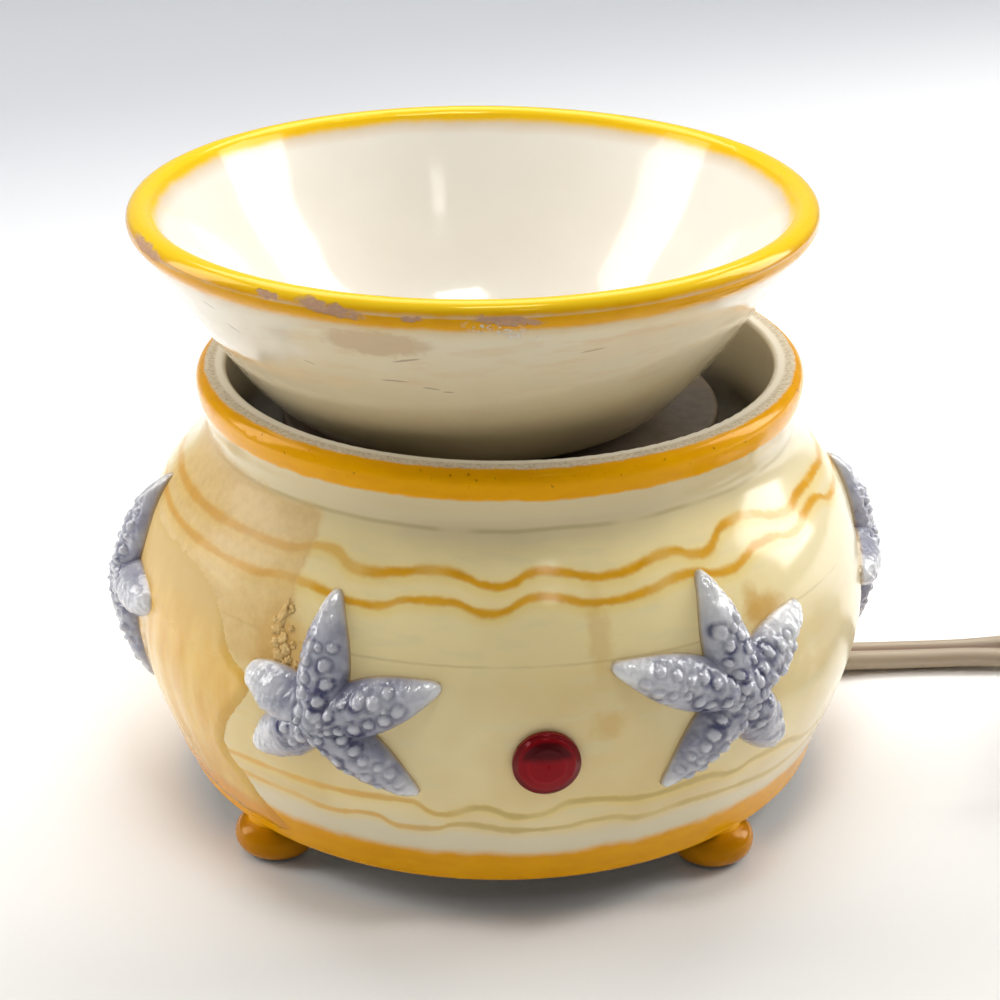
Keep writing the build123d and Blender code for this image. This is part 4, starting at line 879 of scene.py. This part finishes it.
def build_star(name, centre_angle, centre_height, arms, surface):
    """Starfish relief with rows of raised grains along each arm."""
    chance = random.Random(name)
    points, faces = [], []
    marks = {"crest": [], "hollow_and_shade": [], "grain": [], "foot": []}
    for lean, reach, fullness, covered in arms:
        direction = (cos(radians(lean)), sin(radians(lean)))
        side = (-direction[1], direction[0])
        grains = arm_grains(chance, reach, covered)
        pale = PALE_ARMS.get((name, lean), 0.0)
        start = len(points)
        for row in range(ARM_ROWS + 1):
            share = (row / ARM_ROWS) ** ARM_ROW_SPREAD
            along = share * reach
            half = arm_half_width(share, fullness)
            crest = arm_crest(share, fullness)
            near_hub = exp(-((along - HUB_REACH) / HUB_REACH) ** 2)
            for column in range(ARM_COLUMNS + 1):
                across_share = sin(pi / 2 * (-1 + 2 * column / ARM_COLUMNS))
                across = across_share * half
                high = crest * (1 - abs(across_share) ** ARM_FLAT_POWER) ** ARM_ROUND_POWER
                lift, ring = grain_marks(grains, along, across, half)
                u = along * direction[0] + across * side[0]
                v = along * direction[1] + across * side[1]
                wave = 0.0
                for fine, size, seed in ARM_WAVES:
                    wave += noise.noise(Vector((u * fine, v * fine, lean + seed))) * size
                ground, normal = on_pot(centre_angle + degrees(u / BELLY_R), centre_height + v)
                outward = Vector((ground.x, ground.y, 0)).normalized()
                flat = abs(across_share) > 0.999 or row == ARM_ROWS
                rise = max(high + wave * min(high, 1.0), 0.0)
                depth = -ARM_SINK if flat else rise + lift * GRAIN_RISE - ring * GRAIN_RING_DEPTH
                points.append(ground + (outward * 0.6 + normal * 0.4).normalized() * depth)
                upper = 0.5 + 0.5 * (across * side[1] / half if half > 0.1 else 0.0)
                near_crest = high / crest if crest > 0.1 else 0.0
                patch = 0.5 + noise.noise(Vector((u * 0.3, v * 0.3, lean + 5)))
                found = glaze_marks(share, upper, near_crest, near_hub, rise, lift, ring, patch, pale)
                for key, value in found.items():
                    marks[key].append(value)
        for row in range(ARM_ROWS):
            for column in range(ARM_COLUMNS):
                first = start + row * (ARM_COLUMNS + 1) + column
                faces.append((first, first + ARM_COLUMNS + 1, first + ARM_COLUMNS + 2, first + 1))
    item = piece(name + "_relief", points, faces, surface, **marks)
    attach(item, "base")
    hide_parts(name)


# Thick run down the left of the pot: its outline by angle and height
RUN_OUTLINE = [
    (-104, 50), (-95, 54), (-80, 53.5), (-66, 53.8), (-58, 52.5), (-54.0, 50.5), (-52.0, 47.5), (-50.6, 44.5),
    (-48.5, 42.0), (-45.8, 40.6), (-45.0, 38.4), (-46.6, 35.4), (-49.6, 30.5), (-52.2, 25.5), (-52.0, 22.5),
    (-49.8, 19.5), (-48.4, 15.5), (-45.5, 11.8), (-43.0, 9.4), (-46, 8.5), (-60, 8.8), (-75, 9.0), (-90, 9.8),
    (-100, 14), (-106, 24), (-103, 36),
]
RUN_SCALE = 62.0
RUN_GRID = 0.55
RUN_THICKNESS = 0.5
RUN_EDGE_ROUND = 1.3
RUN_ROLL = 0.16
RUN_ROLL_AT = 1.9
RUN_ROLL_WIDTH = 1.1
RUN_WAVES = 0.22
RUN_LEAST_SHARE = 0.08
RUN_TOP = 52.0
RUN_TOP_FADE = 17
RUN_BACK_FADE = 16
RUN_BACK_WIDTH = 24
RUN_RIM_WIDTH = 2.2
RUN_SINK = 0.12


def edge_distance(x, y, outline):
    """Distance to a closed outline, positive inside it."""
    inside = False
    least = 1e9
    for (ax, ay), (bx, by) in zip(outline, outline[1:] + outline[:1]):
        span = (bx - ax) ** 2 + (by - ay) ** 2
        share = min(max(((x - ax) * (bx - ax) + (y - ay) * (by - ay)) / span, 0.0), 1.0)
        least = min(least, hypot(x - ax - share * (bx - ax), y - ay - share * (by - ay)))
        if (ay > y) != (by > y) and x < ax + (y - ay) / (by - ay) * (bx - ax):
            inside = not inside
    return least if inside else -least


def build_run(surface):
    """Run of wax and glaze that thickens the left side, with a rounded edge."""
    outline = [(radians(angle) * RUN_SCALE, height) for angle, height in RUN_OUTLINE]
    low_x, high_x = min(x for x, y in outline), max(x for x, y in outline)
    low_y, high_y = min(y for x, y in outline), max(y for x, y in outline)
    columns = int((high_x - low_x) / RUN_GRID) + 1
    rows = int((high_y - low_y) / RUN_GRID) + 1
    places = {}
    points, faces, rim, back = [], [], [], []
    for row in range(rows + 1):
        for column in range(columns + 1):
            x = low_x + column * RUN_GRID
            y = low_y + row * RUN_GRID
            inside = edge_distance(x, y, outline)
            inside += noise.noise(Vector((x * 0.3, y * 0.12, 0))) * 0.5
            if inside < -RUN_GRID:
                continue
            level = max(inside, 0.0)
            thick = RUN_THICKNESS * (1 - exp(-level / RUN_EDGE_ROUND))
            thick += RUN_ROLL * exp(-((level - RUN_ROLL_AT) / RUN_ROLL_WIDTH) ** 2) * min(level, 1)
            thick += noise.noise(Vector((x * 0.25, y * 0.05, 3))) * RUN_WAVES * min(level / 3, 1)
            thinning = eased((RUN_TOP - y) / RUN_TOP_FADE) * eased((x - low_x) / RUN_BACK_FADE)
            thick *= RUN_LEAST_SHARE + (1 - RUN_LEAST_SHARE) * thinning
            ground, normal = on_pot(degrees(x / RUN_SCALE), y)
            places[(row, column)] = len(points)
            points.append(ground + normal * (thick if inside > 0 else -RUN_SINK))
            rim.append(max(0.0, 1 - level / RUN_RIM_WIDTH))
            back.append(1 - eased((x - low_x) / RUN_BACK_WIDTH))
    for (row, column), first in places.items():
        corners = [(row, column), (row, column + 1), (row + 1, column + 1), (row + 1, column)]
        if all(corner in places for corner in corners):
            faces.append(tuple(places[corner] for corner in corners))
    used = sorted({index for face in faces for index in face})
    renumber = {old: new for new, old in enumerate(used)}
    faces = [tuple(renumber[index] for index in face) for face in faces]
    item = piece("wax_run", [points[index] for index in used], faces, surface,
                 rim=[rim[index] for index in used], back=[back[index] for index in used])
    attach(item, "base")


# Dried bits of wax by the left-hand starfish: angle, height, length, width and lean
WAX_BITS = [
    (-40.4, 51.6, 2.3, 0.55, 72), (-39.4, 52.8, 0.7, 0.45, 30), (-40.9, 49.6, 0.9, 0.6, 10),
    (-39.6, 48.4, 0.8, 0.6, 50), (-41.0, 47.4, 0.7, 0.5, 0), (-39.0, 46.9, 1.0, 0.6, 110),
    (-40.1, 45.6, 0.9, 0.7, 20), (-38.4, 45.3, 0.7, 0.5, 80), (-38.9, 44.0, 1.1, 0.7, 140),
    (-37.5, 43.6, 0.8, 0.6, 60), (-37.0, 44.9, 0.5, 0.4, 0), (-36.6, 42.9, 0.6, 0.5, 30),
    (-37.8, 47.8, 0.5, 0.4, 0), (-41.6, 50.8, 0.45, 0.35, 0), (-38.6, 50.2, 0.5, 0.4, 40),
]
BIT_LENGTHENED = 1.2
BIT_WIDENED = 1.4
BIT_RISE = 0.25
BIT_LUMPS = 0.75
BIT_ROUGHNESS = 0.3


def build_bits(surface):
    """Small crusty lumps of dried wax."""
    points, faces = [], []
    for number, (angle, height, length, width, lean) in enumerate(WAX_BITS):
        ball = bmesh.new()
        bmesh.ops.create_icosphere(ball, subdivisions=3, radius=1.0)
        ground, normal = on_pot(angle, height)
        sideways = Vector((0, 0, 1)).cross(normal).normalized()
        upward = normal.cross(sideways)
        along = sideways * cos(radians(lean)) + upward * sin(radians(lean))
        across = normal.cross(along)
        start = len(points)
        ball.verts.ensure_lookup_table()
        for vertex in ball.verts:
            rough = 1 + BIT_LUMPS * noise.noise(vertex.co * 1.9 + Vector((number * 7.3, 0, 0)))
            rough += BIT_ROUGHNESS * noise.noise(vertex.co * 5.0 + Vector((0, number * 3.1, 0)))
            at = vertex.co * rough
            spread = along * at.x * length * BIT_LENGTHENED + across * at.y * width * BIT_WIDENED
            points.append(ground + spread + normal * at.z * BIT_RISE)
        faces += [tuple(start + vertex.index for vertex in face.verts) for face in ball.faces]
        ball.free()
    item = piece("dried_wax_bits", points, faces, surface)
    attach(item, "base")


# Studio floor: its profile in metres, from the wall in front to the wall behind
FLOOR_HALF_WIDTH = 4.0
FRONT_WALL_Y = -3.4
FRONT_WALL_TOP = 2.2
FRONT_SWEEP_R = 0.9
BACK_SWEEP_Y = 0.9
BACK_SWEEP_R = 0.5
BACK_WALL_TOP = 2.4
SWEEP_STEPS = 12
# The floor's painted shade, in millimetres: falloff toward the back left and a soft shadow a little in front
FLOOR_SLANT = -0.45
FLOOR_BACK_PAINTED_FALLOFF = (90.0, 580.0)
FLOOR_FRONT_PAINTED_SHADOW = (-30.0, -100.0)


def build_stage():
    """Pale floor that sweeps up behind the object and far in front of it."""
    points, faces = [], []
    profile = [(FRONT_WALL_Y, FRONT_WALL_TOP), (FRONT_WALL_Y, FRONT_SWEEP_R)]
    for step in range(1, SWEEP_STEPS + 1):
        turn = radians(90 * step / SWEEP_STEPS)
        profile.append((
            FRONT_WALL_Y + FRONT_SWEEP_R * (1 - cos(turn)),
            FRONT_SWEEP_R * (1 - sin(turn)),
        ))
    profile.append((BACK_SWEEP_Y, 0.0))
    for step in range(1, SWEEP_STEPS + 1):
        turn = radians(90 * step / SWEEP_STEPS)
        profile.append((BACK_SWEEP_Y + BACK_SWEEP_R * sin(turn), BACK_SWEEP_R * (1 - cos(turn))))
    profile.append((BACK_SWEEP_Y + BACK_SWEEP_R, BACK_WALL_TOP))
    for x in (-FLOOR_HALF_WIDTH, FLOOR_HALF_WIDTH):
        points += [(x / MM, y / MM, z / MM) for y, z in profile]
    size = len(profile)
    for index in range(size - 1):
        faces.append((index, index + size, index + size + 1, index + 1))
    s = Surface("studio_paper", gloss=0.75)
    # Painted light falloff darkens the paper toward the back left; a painted soft shadow darkens it a little
    # in front
    far = s.step(s.add(s.y, s.times(s.x, FLOOR_SLANT), s.wobble(0.004, 30.0)), *FLOOR_BACK_PAINTED_FALLOFF)
    near = s.mix(s.step(s.y, *FLOOR_FRONT_PAINTED_SHADOW), rgb(250, 250, 249), rgb(232, 231, 228))
    s.set(Base_Color=s.mix(far, near, rgb(186, 188, 193)))
    stage = piece("studio_floor", points, faces, s)


place_camera()
light_room()
build_stage()
jacket = cord_jacket()
print("cord length", round(build_cord(jacket)))
paint(pot_glaze(), "pot")
paint(dish_glaze(), "dish")
# Painted reflection: the dark heating plate is given a mid brown-grey for the pale inner wall it reflects
paint(plain("plate_coat", (106, 94, 80), (124, 110, 96), 0.26, 0.4), "heating_plate")
paint(red_lens(), "pilot_lens")
paint(plain("steel", (168, 170, 174), (140, 142, 146), 0.3, 0.6, metallic=1.0),
      "clamp_plate", "heater_pan", "plate_screws", "base_screws", "lens_clip", "fuse_clip")
paint(plain("black_moulding", (34, 34, 34), (48, 48, 48), 0.5, 0.8), "stand", "base_cover")
paint(plain("mica", (170, 156, 120), (140, 128, 98), 0.4, 0.3), "upper_mica_disc", "lower_mica_disc")
paint(plain("ribbon", (120, 112, 104), (96, 90, 84), 0.4, 0.6, metallic=0.9), "heater_winding")
paint(plain("felt", (226, 222, 208), (204, 200, 186), 0.9, 0.8, 0.3), "insulation_pad")
paint(plain("lamp_glass", (222, 214, 200), (208, 196, 180), 0.1, 0.2), "pilot_lamp")
paint(plain("lead_sleeve", (196, 194, 188), (178, 176, 170), 0.7, 1.2, 0.1),
      "supply_leads", "heater_leads", "fuse_lead", "pilot_leads", "pilot_resistor")
paint(plain("splice_sleeve", (208, 200, 174), (192, 182, 156), 0.45, 0.6), "splice_connectors")
paint(plain("fuse_case", (196, 190, 178), (176, 170, 160), 0.35, 0.6, metallic=0.8), "thermal_fuse")
paint(plain("blade_brass", (200, 170, 104), (178, 148, 86), 0.28, 0.6, metallic=1.0), "plug_blades")
paint(plain("tie_strip", (228, 228, 224), (214, 214, 210), 0.45, 0.6), "cord_tie")
paint(plain("moulded_jacket", (222, 210, 192), (210, 196, 176), 0.4, 0.3),
      "plug_body", "cord_bushing", "cord_inner")
build_run(wax_surface())
build_bits(plain("dried_wax", (240, 206, 136), (216, 172, 98), 0.6, 1.2, 0.3))
lavender = star_glaze()
for star, (angle, height, arms) in STARS.items():
    build_star(star, angle, height, arms, lavender)
